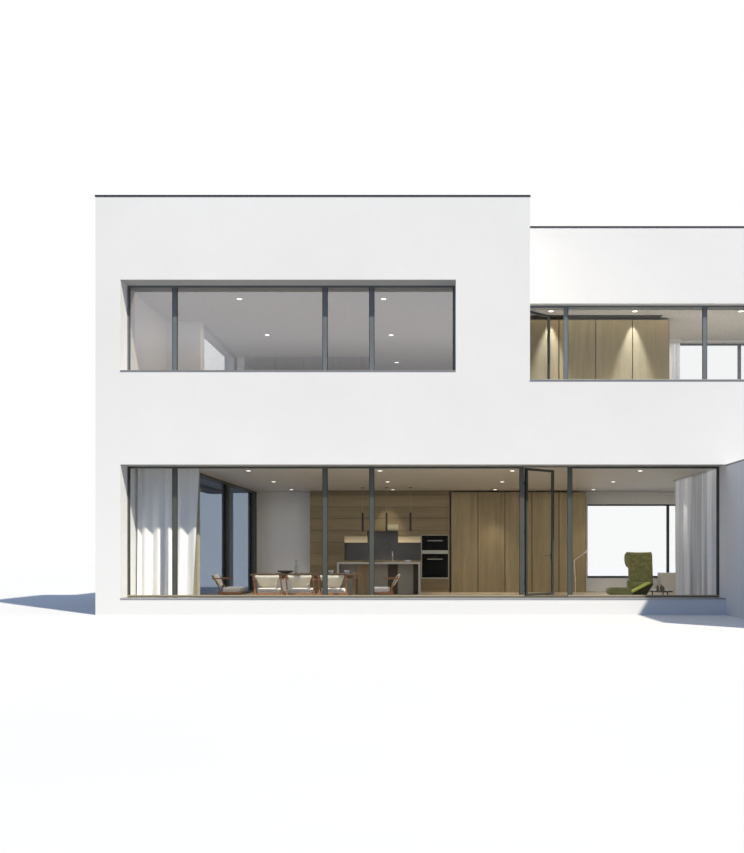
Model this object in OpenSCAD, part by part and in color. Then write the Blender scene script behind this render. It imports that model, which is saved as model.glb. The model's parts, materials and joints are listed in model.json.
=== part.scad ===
// Two-storey flat-roofed house with a set-back upper wing, a long glazed garden front and a free wing wall.
// x runs along the garden front from the left face, y runs into the house, z is up from ground level.

/* [Plan] */
// Width of the tall main block
main_w = 8040; // [7600:10:9000]
// Width of the side block, right of the main block
side_w = 6730; // [6400:10:7400]
// Depth of the house on the ground floor
house_d = 9650; // [9400:10:10400]
// Depth of the side block's upper storey, measured from the garden front
side_upper_d = 5500; // [5000:10:6500]
// How far the side block's upper storey stands back from the garden front
set_back = 1750; // [1600:10:2000]
// Thickness of the outer walls
wall_t = 490; // [400:10:520]
// Thickness of the set-back upper front wall
set_back_wall_t = 320; // [300:10:490]
// Thickness of the balcony and terrace parapets
parapet_t = 300; // [200:10:400]
// Width of the covered gallery along the left side
gallery_w = 1320; // [1000:10:1500]
// Distance from the garden front to the gallery's near end
gallery_y = 1300; // [1200:10:1700]
// Inner width of the side terrace over the gallery, with its glazed wall
side_terrace_w = 1220; // [1150:10:1400]
// Distance from the garden front to the wall at the side terrace's near end
side_terrace_y = 3034; // [2800:10:3400]
// Length of the glazed part of the side terrace's wall
side_window_w = 3596; // [3000:10:4000]

/* [Levels] */
// Thickness of the ground floor slab
ground_t = 80; // [60:5:150]
// Ground floor room height
ground_room_h = 2760; // [2600:10:3000]
// Thickness of the slab between the storeys
slab_t = 460; // [350:10:500]
// Upper room height
upper_room_h = 2850; // [2700:10:3000]
// Thickness of the roof slab
roof_t = 450; // [350:10:500]
// Height of the outer walls above the upper floor
wall_top_h = 4440; // [4200:5:4700]
// Height of the balcony parapet above the upper floor
parapet_h = 1030; // [900:5:1150]
// Height of the upstand under the ground floor windows, above the floor
upstand_h = 208; // [100:4:220]
// Height of the ground floor window head above the floor
ground_head_h = 2705; // [2500:5:2740]
// Height of the upper window opening's bottom above the upper floor
upper_sill_h = 1205; // [900:5:1400]
// Height of the upper window head above the upper floor
upper_head_h = 2905; // [2700:5:3100]

/* [Garden front] */
// Width of the left end pier, which is also the opening's distance from the corner
pier_w = 462; // [400:2:600]
// Length of the ground floor window row
ground_window_w = 11198; // [11000:2:11400]
// Length of the main block's upper window row
upper_window_w = 6206; // [5900:2:6600]
// Depth of the window reveals in the full walls
reveal = 413; // [300:1:413]
// Depth of the reveal in the set-back wall
set_back_reveal = 170; // [100:5:200]
// Narrow window bay, centre to centre
narrow_bay = 885; // [860:5:950]
// Wide window bay, centre to centre
wide_bay = 2842; // [2700:1:2900]
// Distance from an opening's edge to its first mullion's centre
first_bay = 896; // [800:1:950]
// Width of the wall right of the set-back window row
set_back_pier = 570; // [500:10:700]

/* [Wing wall] */
// Length of the wing wall in front of the house
wing_l = 4000; // [3600:50:4600]
// Thickness of the wing wall
wing_t = 365; // [240:5:490]
// Height of the wing wall's top, without its coping
wing_h = 2755; // [2400:5:2800]

/* [Metalwork] */
// Thickness of the copings on the walls
coping_t = 30; // [20:1:60]
// Thickness of the window sills
sill_t = 25; // [20:1:50]
// How far copings and sills stand out from the wall
coping_out = 10; // [8:1:40]
// Joint between coping lengths
coping_joint = 8; // [4:1:15]
// Depth of the window frames
frame_d = 75; // [60:1:77]
// Face width of the outer frames
frame_w = 40; // [30:1:60]
// Face width of the mullions
mullion_w = 80; // [60:1:110]
// Thickness of the frame's outer lip
lip_t = 22; // [15:1:28]
// Depth of the glazing rebate behind the lip
rebate = 12; // [6:1:18]
// Thickness of the glass units
glass_t = 28; // [20:1:30]
// Width of the deep posts of the gallery glazing
post_w = 170; // [120:5:200]

/* [Garden door] */
// Angle at which the leaf stands open, from closed
door_open = 43; // [30:1:60]
// Thickness of the door leaf
leaf_t = 52; // [45:1:65]
// Width of the leaf's stiles and rails
stile_w = 46; // [40:1:70]
// Running gap round the closed leaf
leaf_gap = 8; // [6:1:10]
// Radius of the hinge barrels
barrel_r = 9; // [8:1:10]
// Radius of the hinge pins
pin_r = 5; // [4:0.5:6]
// Radial clearance between a hinge pin and its barrel
pin_clear = 0.05; // [0.02:0.01:0.1]
// Height of one half of a hinge barrel
barrel_h = 45; // [35:1:60]
// Height of the lever handle above the leaf's foot
handle_h = 760; // [700:10:1000]

/* [Kitchen] */
// Depth of the kitchen units
unit_d = 600; // [550:10:650]
// Left end of the kitchen panelling
kitchen_x = 2875; // [2700:5:3000]
// Length of the kitchen panelling
kitchen_w = 3788; // [3700:1:3900]
// Length of the worktop niche
niche_w = 2077; // [1950:1:2080]
// Depth of the worktop niche
niche_d = 350; // [300:10:450]
// Height of the worktop above the floor
worktop_h = 870; // [820:5:920]
// Height of the niche above the worktop
niche_h = 664; // [600:1:700]
// Length of the shelf boxes at the niche's ends
shelf_w = 618; // [550:1:650]
// Height of the shelf boxes
shelf_h = 182; // [150:1:200]
// Extra height of the niche between the shelf boxes
hood_h = 130; // [80:1:200]
// Width of the ovens
oven_w = 711; // [590:1:720]
// Height of the lower oven
oven_h = 643; // [590:1:660]
// Height of the upper oven
upper_oven_h = 399; // [370:1:450]
// Height of the lower oven's foot above the floor
oven_foot_h = 400; // [300:5:450]
// Strip between the two ovens
oven_gap = 100; // [60:1:120]
// Shadow gap beside and over the tall cupboards
shadow_gap = 40; // [20:1:60]
// Width of one tall cupboard door
cupboard_w = 733; // [600:1:740]
// Number of tall cupboard doors
cupboards = 5; // [4:1:5]

/* [Furniture] */
// Length of the kitchen island
island_w = 2108; // [1900:1:2300]
// Depth of the kitchen island
island_d = 900; // [800:10:1000]
// Height of the kitchen island
island_h = 835; // [800:5:920]
// Thickness of the island's top and end panels
island_t = 50; // [30:1:70]
// Length of the dining table
table_w = 2180; // [2000:10:2400]
// Depth of the dining table
table_d = 900; // [850:10:1000]
// Height of the dining table
table_h = 641; // [630:1:740]
// Thickness of the table top
table_t = 30; // [20:1:40]
// Spacing of the dining chairs along the table
chair_step = 640; // [600:1:680]
// Seat height of the dining chairs
seat_h = 360; // [340:1:400]
// Width of a dining chair
chair_w = 560; // [520:5:590]
// Depth of a dining chair
chair_d = 640; // [600:5:660]
// Length of a dining chair's back pad
back_pad_h = 285; // [240:5:320]
// Thickness of the chair pads
pad_t = 45; // [30:1:60]
// Lean of the chair backs, from upright
back_lean = 31; // [20:1:35]
// Radius of the chair legs
chair_leg_r = 14; // [10:1:18]
// Length of a pendant lamp's shade
pendant_l = 480; // [400:10:600]
// Height of a pendant lamp's foot above the floor
pendant_h = 1626; // [1500:1:1750]
// Spacing of the pendant lamps
pendant_step = 615; // [500:5:700]
// Width of one wardrobe door
wardrobe_w = 782; // [700:1:800]
// Number of wardrobe doors
wardrobes = 4; // [3:1:4]
// Depth of the wardrobes
wardrobe_d = 600; // [500:10:650]
// Thickness of the curtains
curtain_t = 24; // [16:1:40]
// Depth of a curtain fold
fold_d = 70; // [40:1:100]
// Width of a curtain fold
fold_w = 150; // [100:5:200]

/* [Hidden] */
$fn = 32;
house_w = main_w + side_w;
// Levels
floor_z = ground_t;
ceiling_z = floor_z + ground_room_h;
upper_z = ceiling_z + slab_t;
upper_ceiling_z = upper_z + upper_room_h;
roof_z = upper_ceiling_z + roof_t;
wall_top = upper_z + wall_top_h;
parapet_top = upper_z + parapet_h;
ground_head = floor_z + ground_head_h;
upstand_top = floor_z + upstand_h;
ground_sill = upstand_top + sill_t;
upper_sill = upper_z + upper_sill_h;
upper_head = upper_z + upper_head_h;
// Foot of the set-back row above the upper floor, and extra width of the garden door's bay
set_back_sill_h = 100;
door_bay_extra = 20;
// Plan lines
in_l = wall_t;
in_r = house_w - wall_t;
in_back = house_d - wall_t;
main_in_r = main_w - wall_t;
side_back = side_upper_d - wall_t;
set_back_in = set_back + set_back_wall_t;
opening_r = pier_w + ground_window_w;
glass_y = reveal;
set_back_glass_y = set_back + set_back_reveal;
wing_x = opening_r;
// Mullion centres of the window rows
m1 = pier_w + first_bay;
m2 = m1 + wide_bay;
m3 = m2 + narrow_bay;
m4 = m3 + wide_bay;
m5 = m4 + narrow_bay + door_bay_extra;
s1 = main_w + frame_w / 2 + narrow_bay + leaf_gap;
s2 = s1 + wide_bay;
s3 = s2 + narrow_bay;
set_back_r = house_w - set_back_pier;
set_back_sill = upper_z + set_back_sill_h;
// Rear windows
picture_w = 3160;
picture_x = in_r - 620 - picture_w;
picture_m = 2285;
picture_sill_h = 362;
picture_head_h = 2424;
rear_w = 2180;
rear_x = in_r - 54 - rear_w;
rear_m = 1472;
rear_head_h = 2830;
rear_glass_in = 190;
corner_column_x = 360;
corner_column_w = 210;
main_rear_x = side_terrace_w + 180;
main_rear_w = main_in_r - 490 - main_rear_x;
main_rear_ms = [for (k = [0, wide_bay, wide_bay + narrow_bay]) main_rear_x + first_bay + k];
// Side terrace
side_wall_t = 320;
side_wall_x = side_terrace_w - side_wall_t;
side_window_y = side_terrace_y + side_wall_t;
side_window_end = side_window_y + side_window_w;
stub_w = 180;
stub_t = 160;
cupboard_row_x = 1630;
cupboard_row_w = 2965;
cupboard_row_d = 600;
// Door leaf
door_l = m4 + mullion_w / 2;
door_r = m5 - mullion_w / 2;
door_head_t = 15;
axis_x = door_l + leaf_gap / 2;
axis_y = glass_y + frame_d + barrel_r;
threshold_t = 12;
leaf_z = ground_sill + threshold_t + leaf_gap;
leaf_top = ground_head - door_head_t - leaf_gap;
leaf_h = leaf_top - leaf_z;
leaf_w = door_r - door_l - 2 * leaf_gap;
hinge_zs = [for (k = [0.1, 0.5, 0.88]) leaf_z + k * leaf_h];
hinge_plate_w = 34;
hinge_plate_t = 3;
rose_w = 28;
rose_h = 140;
rose_t = 8;
lever_r = 9;
lever_out = 40;
lever_l = 130;
// Upper open leaf
upper_leaf_open = 45;
upper_leaf_z = set_back_sill + threshold_t + leaf_gap;
upper_leaf_head = min(upper_head - frame_w, upper_ceiling_z);
upper_leaf_top = upper_leaf_head - leaf_gap;
upper_leaf_w = s1 - mullion_w / 2 - main_w - frame_w - 2 * leaf_gap;
upper_axis_x = main_w + frame_w + leaf_gap / 2;
upper_axis_y = set_back_glass_y + frame_d + barrel_r;
upper_hinge_zs = [for (k = [0.1, 0.5, 0.88]) upper_leaf_z + k * (upper_leaf_top - upper_leaf_z)];
// Interior places
kitchen_y = in_back - unit_d;
oven_side = 38;
niche_side = 30;
oven_x = kitchen_x + kitchen_w - oven_side - oven_w;
niche_r = oven_x - niche_side;
niche_l = niche_r - niche_w;
niche_z = floor_z + worktop_h;
niche_top = niche_z + niche_h;
splash_t = 20;
oven_d = 550;
oven_z = floor_z + oven_foot_h;
upper_oven_z = oven_z + oven_h + oven_gap;
cupboard_x = kitchen_x + kitchen_w + shadow_gap;
island_x = 3793;
island_y = 6700;
pendant_x = 4410;
table_x = 2543;
table_y = 1700;
chair_x = table_x + 421;
chair_y = 1180;
end_chair_out = 860;
sideboard_w = 1125;
sideboard_d = 420;
sideboard_h = 525;
sideboard_x = in_r - 710 - sideboard_w;
wardrobe_y = 2720;
wardrobe_x = main_w + 90;
rail_h = 20;
rail_d = 30;
left_curtain_x = in_l + 15;
left_curtain_w = 1215;
left_curtain_y = 860;
right_curtain_x = opening_r + 190;
right_curtain_y = 620;
right_curtain_l = 4180;
upper_curtain_w = 250;
upper_curtain_x = rear_x - 6 - upper_curtain_w;
upper_curtain_y = side_back - 120;
curtain_clear = 15;
seat_clear = 0.3;

// Places the house with the middle of its base at the origin
module place() {
    translate([-house_w / 2, -(house_d - wing_l) / 2, 0]) children();
}

// Block between two corners
module block(x0, x1, y0, y1, z0, z1) {
    translate([x0, y0, z0]) cube([x1 - x0, y1 - y0, z1 - z0]);
}

// Upright prism over an outline
module prism(points, z0, z1) {
    translate([0, 0, z0]) linear_extrude(z1 - z0) polygon(points);
}

// Window row from x0 to x1 with mullions at ms: outer lip, then the deeper part with rebates for the glass
module window_frame(x0, x1, z0, z1, ms, y, fw = frame_w, mw = mullion_w) {
    edges = concat([x0 + fw - mw / 2], ms, [x1 - fw + mw / 2]);
    difference() {
        block(x0, x1, y, y + frame_d, z0, z1);
        for (i = [0 : len(edges) - 2]) {
            block(edges[i] + mw / 2, edges[i + 1] - mw / 2, y - 1, y + frame_d + 1, z0 + fw, z1 - fw);
            block(edges[i] + mw / 2 - rebate, edges[i + 1] - mw / 2 + rebate, y + lip_t, y + frame_d + 1,
                z0 + fw - rebate, z1 - fw + rebate);
        }
    }
}

// Glass units that fill the rebates of a window row
module window_glass(x0, x1, z0, z1, ms, y, fw = frame_w, mw = mullion_w) {
    edges = concat([x0 + fw - mw / 2], ms, [x1 - fw + mw / 2]);
    for (i = [0 : len(edges) - 2])
        block(edges[i] + mw / 2 - rebate, edges[i + 1] - mw / 2 + rebate, y + lip_t, y + lip_t + glass_t,
            z0 + fw - rebate, z1 - fw + rebate);
}

// Structure

module ground_slab() {
    color("gainsboro") place() prism([[in_l, wall_t], [in_r, wall_t], [in_r, in_back],
        [gallery_w, in_back], [gallery_w, house_d], [0, house_d], [0, gallery_y], [in_l, gallery_y]], 0, floor_z);
}

module first_floor_slab() {
    color("gainsboro") place() block(in_l, in_r, wall_t, in_back, ceiling_z, upper_z);
}

module roof_slab() {
    color("silver") place() prism([[in_l, wall_t], [main_in_r, wall_t], [main_in_r, set_back_in],
        [in_r, set_back_in], [in_r, side_back], [main_in_r, side_back], [main_in_r, in_back],
        [side_terrace_w, in_back], [side_terrace_w, side_terrace_y], [in_l, side_terrace_y]],
        upper_ceiling_z, roof_z);
}

module front_beam() {
    color("white") place() block(0, house_w, 0, wall_t, ground_head, upper_z);
}

module front_right_wall() {
    color("white") place() block(opening_r, house_w, 0, wall_t, 0, ground_head);
}

module front_upstand() {
    color("white") place() block(pier_w, opening_r, 0, wall_t, 0, upstand_top);
}

module left_front_wall() {
    color("white") place() {
        block(0, pier_w, 0, wall_t, 0, ground_head);
        block(0, in_l, wall_t, gallery_y, 0, ground_head);
    }
}

// Full height near the front, then low along the side terrace
module left_upper_wall() {
    color("white") place() {
        block(0, wall_t, wall_t, side_window_y, ground_head, wall_top);
        block(0, wall_t, side_window_y, in_back, ground_head, parapet_top);
    }
}

module upper_front_wall() {
    color("white") place() difference() {
        block(0, main_w, 0, wall_t, upper_z, wall_top);
        block(pier_w, pier_w + upper_window_w, -1, wall_t + 1, upper_sill, upper_head);
    }
}

module balcony_parapet() {
    color("white") place() prism([[main_w, 0], [house_w, 0], [house_w, set_back],
        [house_w - parapet_t, set_back], [house_w - parapet_t, parapet_t], [main_w, parapet_t]],
        upper_z, parapet_top);
}

module terrace_parapet() {
    color("white") place() prism([[house_w - parapet_t, side_upper_d], [house_w, side_upper_d],
        [house_w, house_d], [main_w, house_d], [main_w, house_d - parapet_t],
        [house_w - parapet_t, house_d - parapet_t]], upper_z, parapet_top);
}

module set_back_wall() {
    color("white") place() difference() {
        block(main_w, house_w, set_back, set_back_in, upper_z, wall_top);
        block(main_w - 1, set_back_r, set_back - 1, set_back_in + 1, set_back_sill, upper_head);
    }
}

module balcony_side_wall() {
    color("white") place() block(main_in_r, main_w, wall_t, set_back_in, upper_z, wall_top);
}

module right_wall() {
    color("white") place() block(in_r, house_w, wall_t, in_back, 0, upper_z);
}

module right_upper_wall() {
    color("white") place() block(in_r, house_w, set_back_in, side_back, upper_z, wall_top);
}

// Open behind the gallery, with a set-in column under its corner, and low behind the side terrace
module main_rear_wall() {
    color("white") place() {
        block(corner_column_x, corner_column_x + corner_column_w, house_d - corner_column_w, house_d, floor_z,
            ceiling_z);
        main_rear_wall_body();
    }
}

module main_rear_wall_body() {
    difference() {
        block(0, main_w, in_back, house_d, 0, wall_top);
        block(-1, gallery_w, in_back - 1, house_d + 1, -1, ceiling_z);
        block(-1, side_wall_x, in_back - 1, house_d + 1, parapet_top, wall_top + 1);
        block(main_rear_x, main_rear_x + main_rear_w, in_back - 1, house_d + 1, upper_sill, upper_head);
    }
}

// Walls along the side terrace, with the opening of the side window and a stub inside at its end
module side_terrace_walls() {
    color("white") place() {
        block(in_l, side_terrace_w, side_terrace_y, side_window_y, upper_z, wall_top);
        difference() {
            block(side_wall_x, side_terrace_w, side_window_y, in_back, upper_z, wall_top);
            block(side_wall_x - 1, side_terrace_w + 1, side_window_y - 1, side_window_end, upper_z - 1,
                upper_ceiling_z);
        }
        block(side_terrace_w, side_terrace_w + stub_w, side_window_end, side_window_end + stub_t, upper_z,
            upper_ceiling_z);
    }
}

module main_side_rear_wall() {
    color("white") place() block(main_in_r, main_w, side_back, in_back, upper_z, wall_top);
}

module side_rear_wall() {
    color("white") place() difference() {
        block(main_w, house_w, in_back, house_d, 0, upper_z);
        block(picture_x, picture_x + picture_w, in_back - 1, house_d + 1,
            floor_z + picture_sill_h, floor_z + picture_head_h);
    }
}

module side_upper_rear_wall() {
    color("white") place() difference() {
        block(main_w, house_w, side_back, side_upper_d, upper_z, wall_top);
        block(rear_x, rear_x + rear_w, side_back - 1, side_upper_d + 1, upper_sill, upper_z + rear_head_h);
    }
}

module wing_wall() {
    color("white") place() block(wing_x, wing_x + wing_t, -wing_l, 0, 0, wing_h);
}

// Metalwork

module roof_coping() {
    o = coping_out;
    c = wall_t;
    g = coping_joint;
    color("dimgray") place() {
        block(-o, main_w + o, -o, c, wall_top, wall_top + coping_t);
        block(-o, c, c + g, side_window_y + o, wall_top, wall_top + coping_t);
        block(c + g, side_terrace_w, side_terrace_y, side_window_y + o, wall_top, wall_top + coping_t);
        block(side_wall_x - o, side_terrace_w, side_window_y + o + g, in_back - g, wall_top,
            wall_top + coping_t);
        block(side_wall_x - o, main_w + o, in_back, house_d + o, wall_top, wall_top + coping_t);
        block(main_in_r, main_w + o, c + g, set_back - o - g, wall_top, wall_top + coping_t);
        block(main_in_r, house_w + o, set_back - o, set_back_in, wall_top, wall_top + coping_t);
        block(in_r, house_w + o, set_back_in + g, side_back - g, wall_top, wall_top + coping_t);
        block(main_in_r, house_w + o, side_back, side_upper_d + o, wall_top, wall_top + coping_t);
        block(main_in_r, main_w + o, side_upper_d + o + g, in_back - g, wall_top, wall_top + coping_t);
    }
}

module parapet_coping() {
    o = coping_out;
    g = coping_joint;
    inner = house_w - parapet_t;
    color("dimgray") place() {
        block(main_w, house_w + o, -o, parapet_t, parapet_top, parapet_top + coping_t);
        block(inner, house_w + o, parapet_t + g, set_back, parapet_top, parapet_top + coping_t);
        block(inner, house_w + o, side_upper_d, house_d - parapet_t - g, parapet_top, parapet_top + coping_t);
        block(main_w, house_w + o, house_d - parapet_t, house_d + o, parapet_top, parapet_top + coping_t);
        block(-o, wall_t, side_window_y + g, in_back - g, parapet_top, parapet_top + coping_t);
        block(-o, side_wall_x - g, in_back, house_d + o, parapet_top, parapet_top + coping_t);
        block(wing_x - o / 4, wing_x + wing_t + o, -wing_l - o, 0, wing_h, wing_h + coping_t);
    }
}

module window_sills() {
    o = coping_out;
    color("darkgray") place() {
        block(pier_w, opening_r, -o, glass_y + frame_d, upstand_top, ground_sill);
        block(pier_w, pier_w + upper_window_w, -o, glass_y, upper_sill, upper_sill + sill_t);
        block(main_rear_x, main_rear_x + main_rear_w, house_d - glass_y, house_d + o,
            upper_sill, upper_sill + sill_t);
        block(picture_x, picture_x + picture_w, house_d - rear_glass_in, house_d + o,
            floor_z + picture_sill_h, floor_z + picture_sill_h + sill_t);
        block(rear_x, rear_x + rear_w, side_upper_d - rear_glass_in, side_upper_d + o,
            upper_sill, upper_sill + sill_t);
    }
}

// Windows

module ground_frames() {
    color("slategray") place() {
        window_frame(pier_w, m4, ground_sill, ground_head, [m1, m2, m3], glass_y);
        window_frame(m5, opening_r, ground_sill, ground_head, [], glass_y);
    }
}

// Lower hinge halves with their pins, about a hinge axis at the origin
module fixed_hinges(zs) {
    for (z = zs) {
        block(-leaf_gap / 2 - hinge_plate_w, -barrel_r / 2, -barrel_r, hinge_plate_t - barrel_r,
            z - barrel_h, z);
        translate([0, 0, z - barrel_h]) cylinder(r = barrel_r, h = barrel_h - seat_clear);
        translate([0, 0, z - barrel_h]) cylinder(r = pin_r, h = 2 * barrel_h);
    }
}

// Upper hinge halves, bored for the pins
module leaf_hinges(zs) {
    for (z = zs) difference() {
        union() {
            block(barrel_r / 2, leaf_gap / 2 + hinge_plate_w, -barrel_r, hinge_plate_t - barrel_r,
                z, z + barrel_h);
            translate([0, 0, z]) cylinder(r = barrel_r, h = barrel_h);
        }
        translate([0, 0, z - 1]) cylinder(r = pin_r + pin_clear, h = barrel_h + 2);
    }
}

// Jambs, head and threshold round the garden door, with the lower hinge halves and their pins
module door_frame() {
    y0 = glass_y;
    y1 = glass_y + frame_d;
    color("slategray") place() {
        difference() {
            block(m4, m5, y0, y1, ground_sill, ground_head);
            block(door_l, door_r, y0 - 1, y1 + 1, ground_sill + threshold_t, ground_head - door_head_t);
        }
        translate([axis_x, axis_y, 0]) fixed_hinges(hinge_zs);
    }
}

module ground_glass() {
    color("lightblue", 0.4) place() {
        window_glass(pier_w, m4, ground_sill, ground_head, [m1, m2, m3], glass_y);
        window_glass(m5, opening_r, ground_sill, ground_head, [], glass_y);
    }
}

// Carries its children, drawn closed about the hinge axis, to the open angle
module door_pose() {
    place() translate([axis_x, axis_y, 0]) rotate([0, 0, door_open]) children();
}

leaf_x0 = leaf_gap / 2;
leaf_y1 = -barrel_r;
leaf_y0 = leaf_y1 - leaf_t;

module door_leaf() {
    x1 = leaf_x0 + leaf_w;
    xi0 = leaf_x0 + stile_w;
    xi1 = x1 - stile_w;
    zi0 = leaf_z + stile_w;
    zi1 = leaf_top - stile_w;
    hx = x1 - stile_w / 2;
    hz = leaf_z + handle_h;
    color("slategray") door_pose() {
        difference() {
            block(leaf_x0, x1, leaf_y0, leaf_y1, leaf_z, leaf_top);
            block(xi0, xi1, leaf_y0 - 1, leaf_y1 + 1, zi0, zi1);
            block(xi0 - rebate, xi1 + rebate, leaf_y0 + lip_t, leaf_y1 + 1, zi0 - rebate, zi1 + rebate);
        }
        leaf_hinges(hinge_zs);
        block(hx - rose_w / 2, hx + rose_w / 2, leaf_y1, leaf_y1 + rose_t, hz - rose_h / 2, hz + rose_h / 2);
        translate([hx, leaf_y1 + rose_t, hz]) rotate([-90, 0, 0]) cylinder(r = lever_r, h = lever_out);
        translate([hx + lever_r, leaf_y1 + rose_t + lever_out, hz]) rotate([0, -90, 0])
            cylinder(r = lever_r, h = lever_l);
    }
}

module door_glass() {
    x1 = leaf_x0 + leaf_w;
    color("lightblue", 0.4) door_pose() block(leaf_x0 + stile_w - rebate, x1 - stile_w + rebate,
        leaf_y0 + lip_t, leaf_y0 + lip_t + glass_t,
        leaf_z + stile_w - rebate, leaf_top - stile_w + rebate);
}

module upper_frames() {
    color("slategray") place() {
        window_frame(pier_w, pier_w + upper_window_w, upper_sill + sill_t, upper_head, [m1, m2, m3], glass_y);
        difference() {
            block(main_w, set_back_r, set_back_glass_y, set_back_glass_y + frame_d, set_back_sill, upper_head);
            block(main_w + frame_w, s1 - mullion_w / 2, set_back_glass_y - 1, set_back_glass_y + frame_d + 1,
                set_back_sill + threshold_t, upper_leaf_head);
            window_holes(s1, [s2, s3], set_back_r);
        }
        translate([upper_axis_x, upper_axis_y, 0]) fixed_hinges(upper_hinge_zs);
        side_window_place() window_frame(0, side_window_w, upper_z, upper_ceiling_z, [], 0);
    }
}

// Turns a window row drawn along x into the side terrace's wall
module side_window_place() {
    translate([side_terrace_w - frame_d, side_window_end, 0]) rotate([0, 0, -90]) children();
}

// Glazed bays of the set-back row, right of its open leaf
module window_holes(first, ms, last) {
    edges = concat([first], ms, [last - frame_w + mullion_w / 2]);
    for (i = [0 : len(edges) - 2]) {
        block(edges[i] + mullion_w / 2, edges[i + 1] - mullion_w / 2, set_back_glass_y - 1,
            set_back_glass_y + frame_d + 1, set_back_sill + frame_w, upper_head - frame_w);
        block(edges[i] + mullion_w / 2 - rebate, edges[i + 1] - mullion_w / 2 + rebate,
            set_back_glass_y + lip_t, set_back_glass_y + frame_d + 1,
            set_back_sill + frame_w - rebate, upper_head - frame_w + rebate);
    }
}

module upper_glass() {
    color("lightblue", 0.4) place() {
        window_glass(pier_w, pier_w + upper_window_w, upper_sill + sill_t, upper_head, [m1, m2, m3], glass_y);
        window_glass(s1 + mullion_w / 2 - frame_w, set_back_r, set_back_sill, upper_head, [s2, s3],
            set_back_glass_y);
        side_window_place() window_glass(0, side_window_w, upper_z, upper_ceiling_z, [], 0);
    }
    y0 = -barrel_r - leaf_t + lip_t;
    color("lightblue", 0.4) upper_leaf_pose() block(leaf_gap / 2 + stile_w - rebate,
        leaf_gap / 2 + upper_leaf_w - stile_w + rebate, y0, y0 + glass_t,
        upper_leaf_z + stile_w - rebate, upper_leaf_top - stile_w + rebate);
}

// Carries its children, drawn closed about the upper leaf's hinge axis, to the angle at which it stands
module upper_leaf_pose() {
    place() translate([upper_axis_x, upper_axis_y, 0]) rotate([0, 0, upper_leaf_open]) children();
}

// Narrow leaf of the set-back row, standing open
module upper_leaf() {
    x0 = leaf_gap / 2;
    x1 = x0 + upper_leaf_w;
    y1 = -barrel_r;
    y0 = y1 - leaf_t;
    zi0 = upper_leaf_z + stile_w;
    zi1 = upper_leaf_top - stile_w;
    color("slategray") upper_leaf_pose() {
        difference() {
            block(x0, x1, y0, y1, upper_leaf_z, upper_leaf_top);
            block(x0 + stile_w, x1 - stile_w, y0 - 1, y1 + 1, zi0, zi1);
            block(x0 + stile_w - rebate, x1 - stile_w + rebate, y0 + lip_t, y1 + 1, zi0 - rebate, zi1 + rebate);
        }
        leaf_hinges(upper_hinge_zs);
    }
}

module rear_frames() {
    color("slategray") place() {
        window_frame(main_rear_x, main_rear_x + main_rear_w, upper_sill + sill_t, upper_head,
            main_rear_ms, house_d - glass_y - frame_d);
        window_frame(picture_x, picture_x + picture_w, floor_z + picture_sill_h + sill_t,
            floor_z + picture_head_h, [picture_x + picture_m], house_d - rear_glass_in - frame_d);
        window_frame(rear_x, rear_x + rear_w, upper_sill + sill_t, upper_z + rear_head_h, [rear_x + rear_m],
            side_upper_d - rear_glass_in - frame_d);
    }
}

module rear_glass() {
    color("lightblue", 0.4) place() {
        window_glass(main_rear_x, main_rear_x + main_rear_w, upper_sill + sill_t, upper_head,
            main_rear_ms, house_d - glass_y - frame_d);
        window_glass(picture_x, picture_x + picture_w, floor_z + picture_sill_h + sill_t,
            floor_z + picture_head_h, [picture_x + picture_m], house_d - rear_glass_in - frame_d);
        window_glass(rear_x, rear_x + rear_w, upper_sill + sill_t, upper_z + rear_head_h, [rear_x + rear_m],
            side_upper_d - rear_glass_in - frame_d);
    }
}

gallery_len = in_back - gallery_y;
gallery_posts = [0.542, 0.965];
gallery_glass_t = 40;
gallery_rail = 50;

// Storey-high glazing along the covered gallery, with deep square posts
module gallery_frames() {
    x1 = gallery_w;
    x0 = x1 - post_w;
    color("slategray") place() difference() {
        prism([[in_l, gallery_y], [x1, gallery_y], [x1, in_back], [x0, in_back], [x0, gallery_y + post_w],
            [in_l, gallery_y + post_w]], floor_z, ceiling_z);
        block(in_l + gallery_rail, x0, gallery_y - 1, gallery_y + post_w + 1,
            floor_z + gallery_rail, ceiling_z - gallery_rail);
        for (k = [0, 1]) block(x0 - 1, x1 + 1,
            gallery_y + (k == 0 ? post_w : gallery_posts[k - 1] * gallery_len + post_w / 2),
            gallery_y + gallery_posts[k] * gallery_len - post_w / 2,
            floor_z + gallery_rail, ceiling_z - gallery_rail);
        block(x0 - 1, x1 + 1, gallery_y + gallery_posts[1] * gallery_len + post_w / 2, in_back - gallery_rail,
            floor_z + gallery_rail, ceiling_z - gallery_rail);
    }
}

module gallery_glass() {
    xm = gallery_w - post_w / 2;
    h = gallery_glass_t / 2;
    ym = gallery_y + post_w / 2;
    color("lightblue", 0.4) place() {
        block(in_l + gallery_rail, gallery_w - post_w, ym - h, ym + h,
            floor_z + gallery_rail, ceiling_z - gallery_rail);
        for (k = [0, 1]) block(xm - h, xm + h,
            gallery_y + (k == 0 ? post_w : gallery_posts[k - 1] * gallery_len + post_w / 2),
            gallery_y + gallery_posts[k] * gallery_len - post_w / 2,
            floor_z + gallery_rail, ceiling_z - gallery_rail);
        block(xm - h, xm + h, gallery_y + gallery_posts[1] * gallery_len + post_w / 2, in_back - gallery_rail,
            floor_z + gallery_rail, ceiling_z - gallery_rail);
    }
}

// Kitchen

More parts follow.
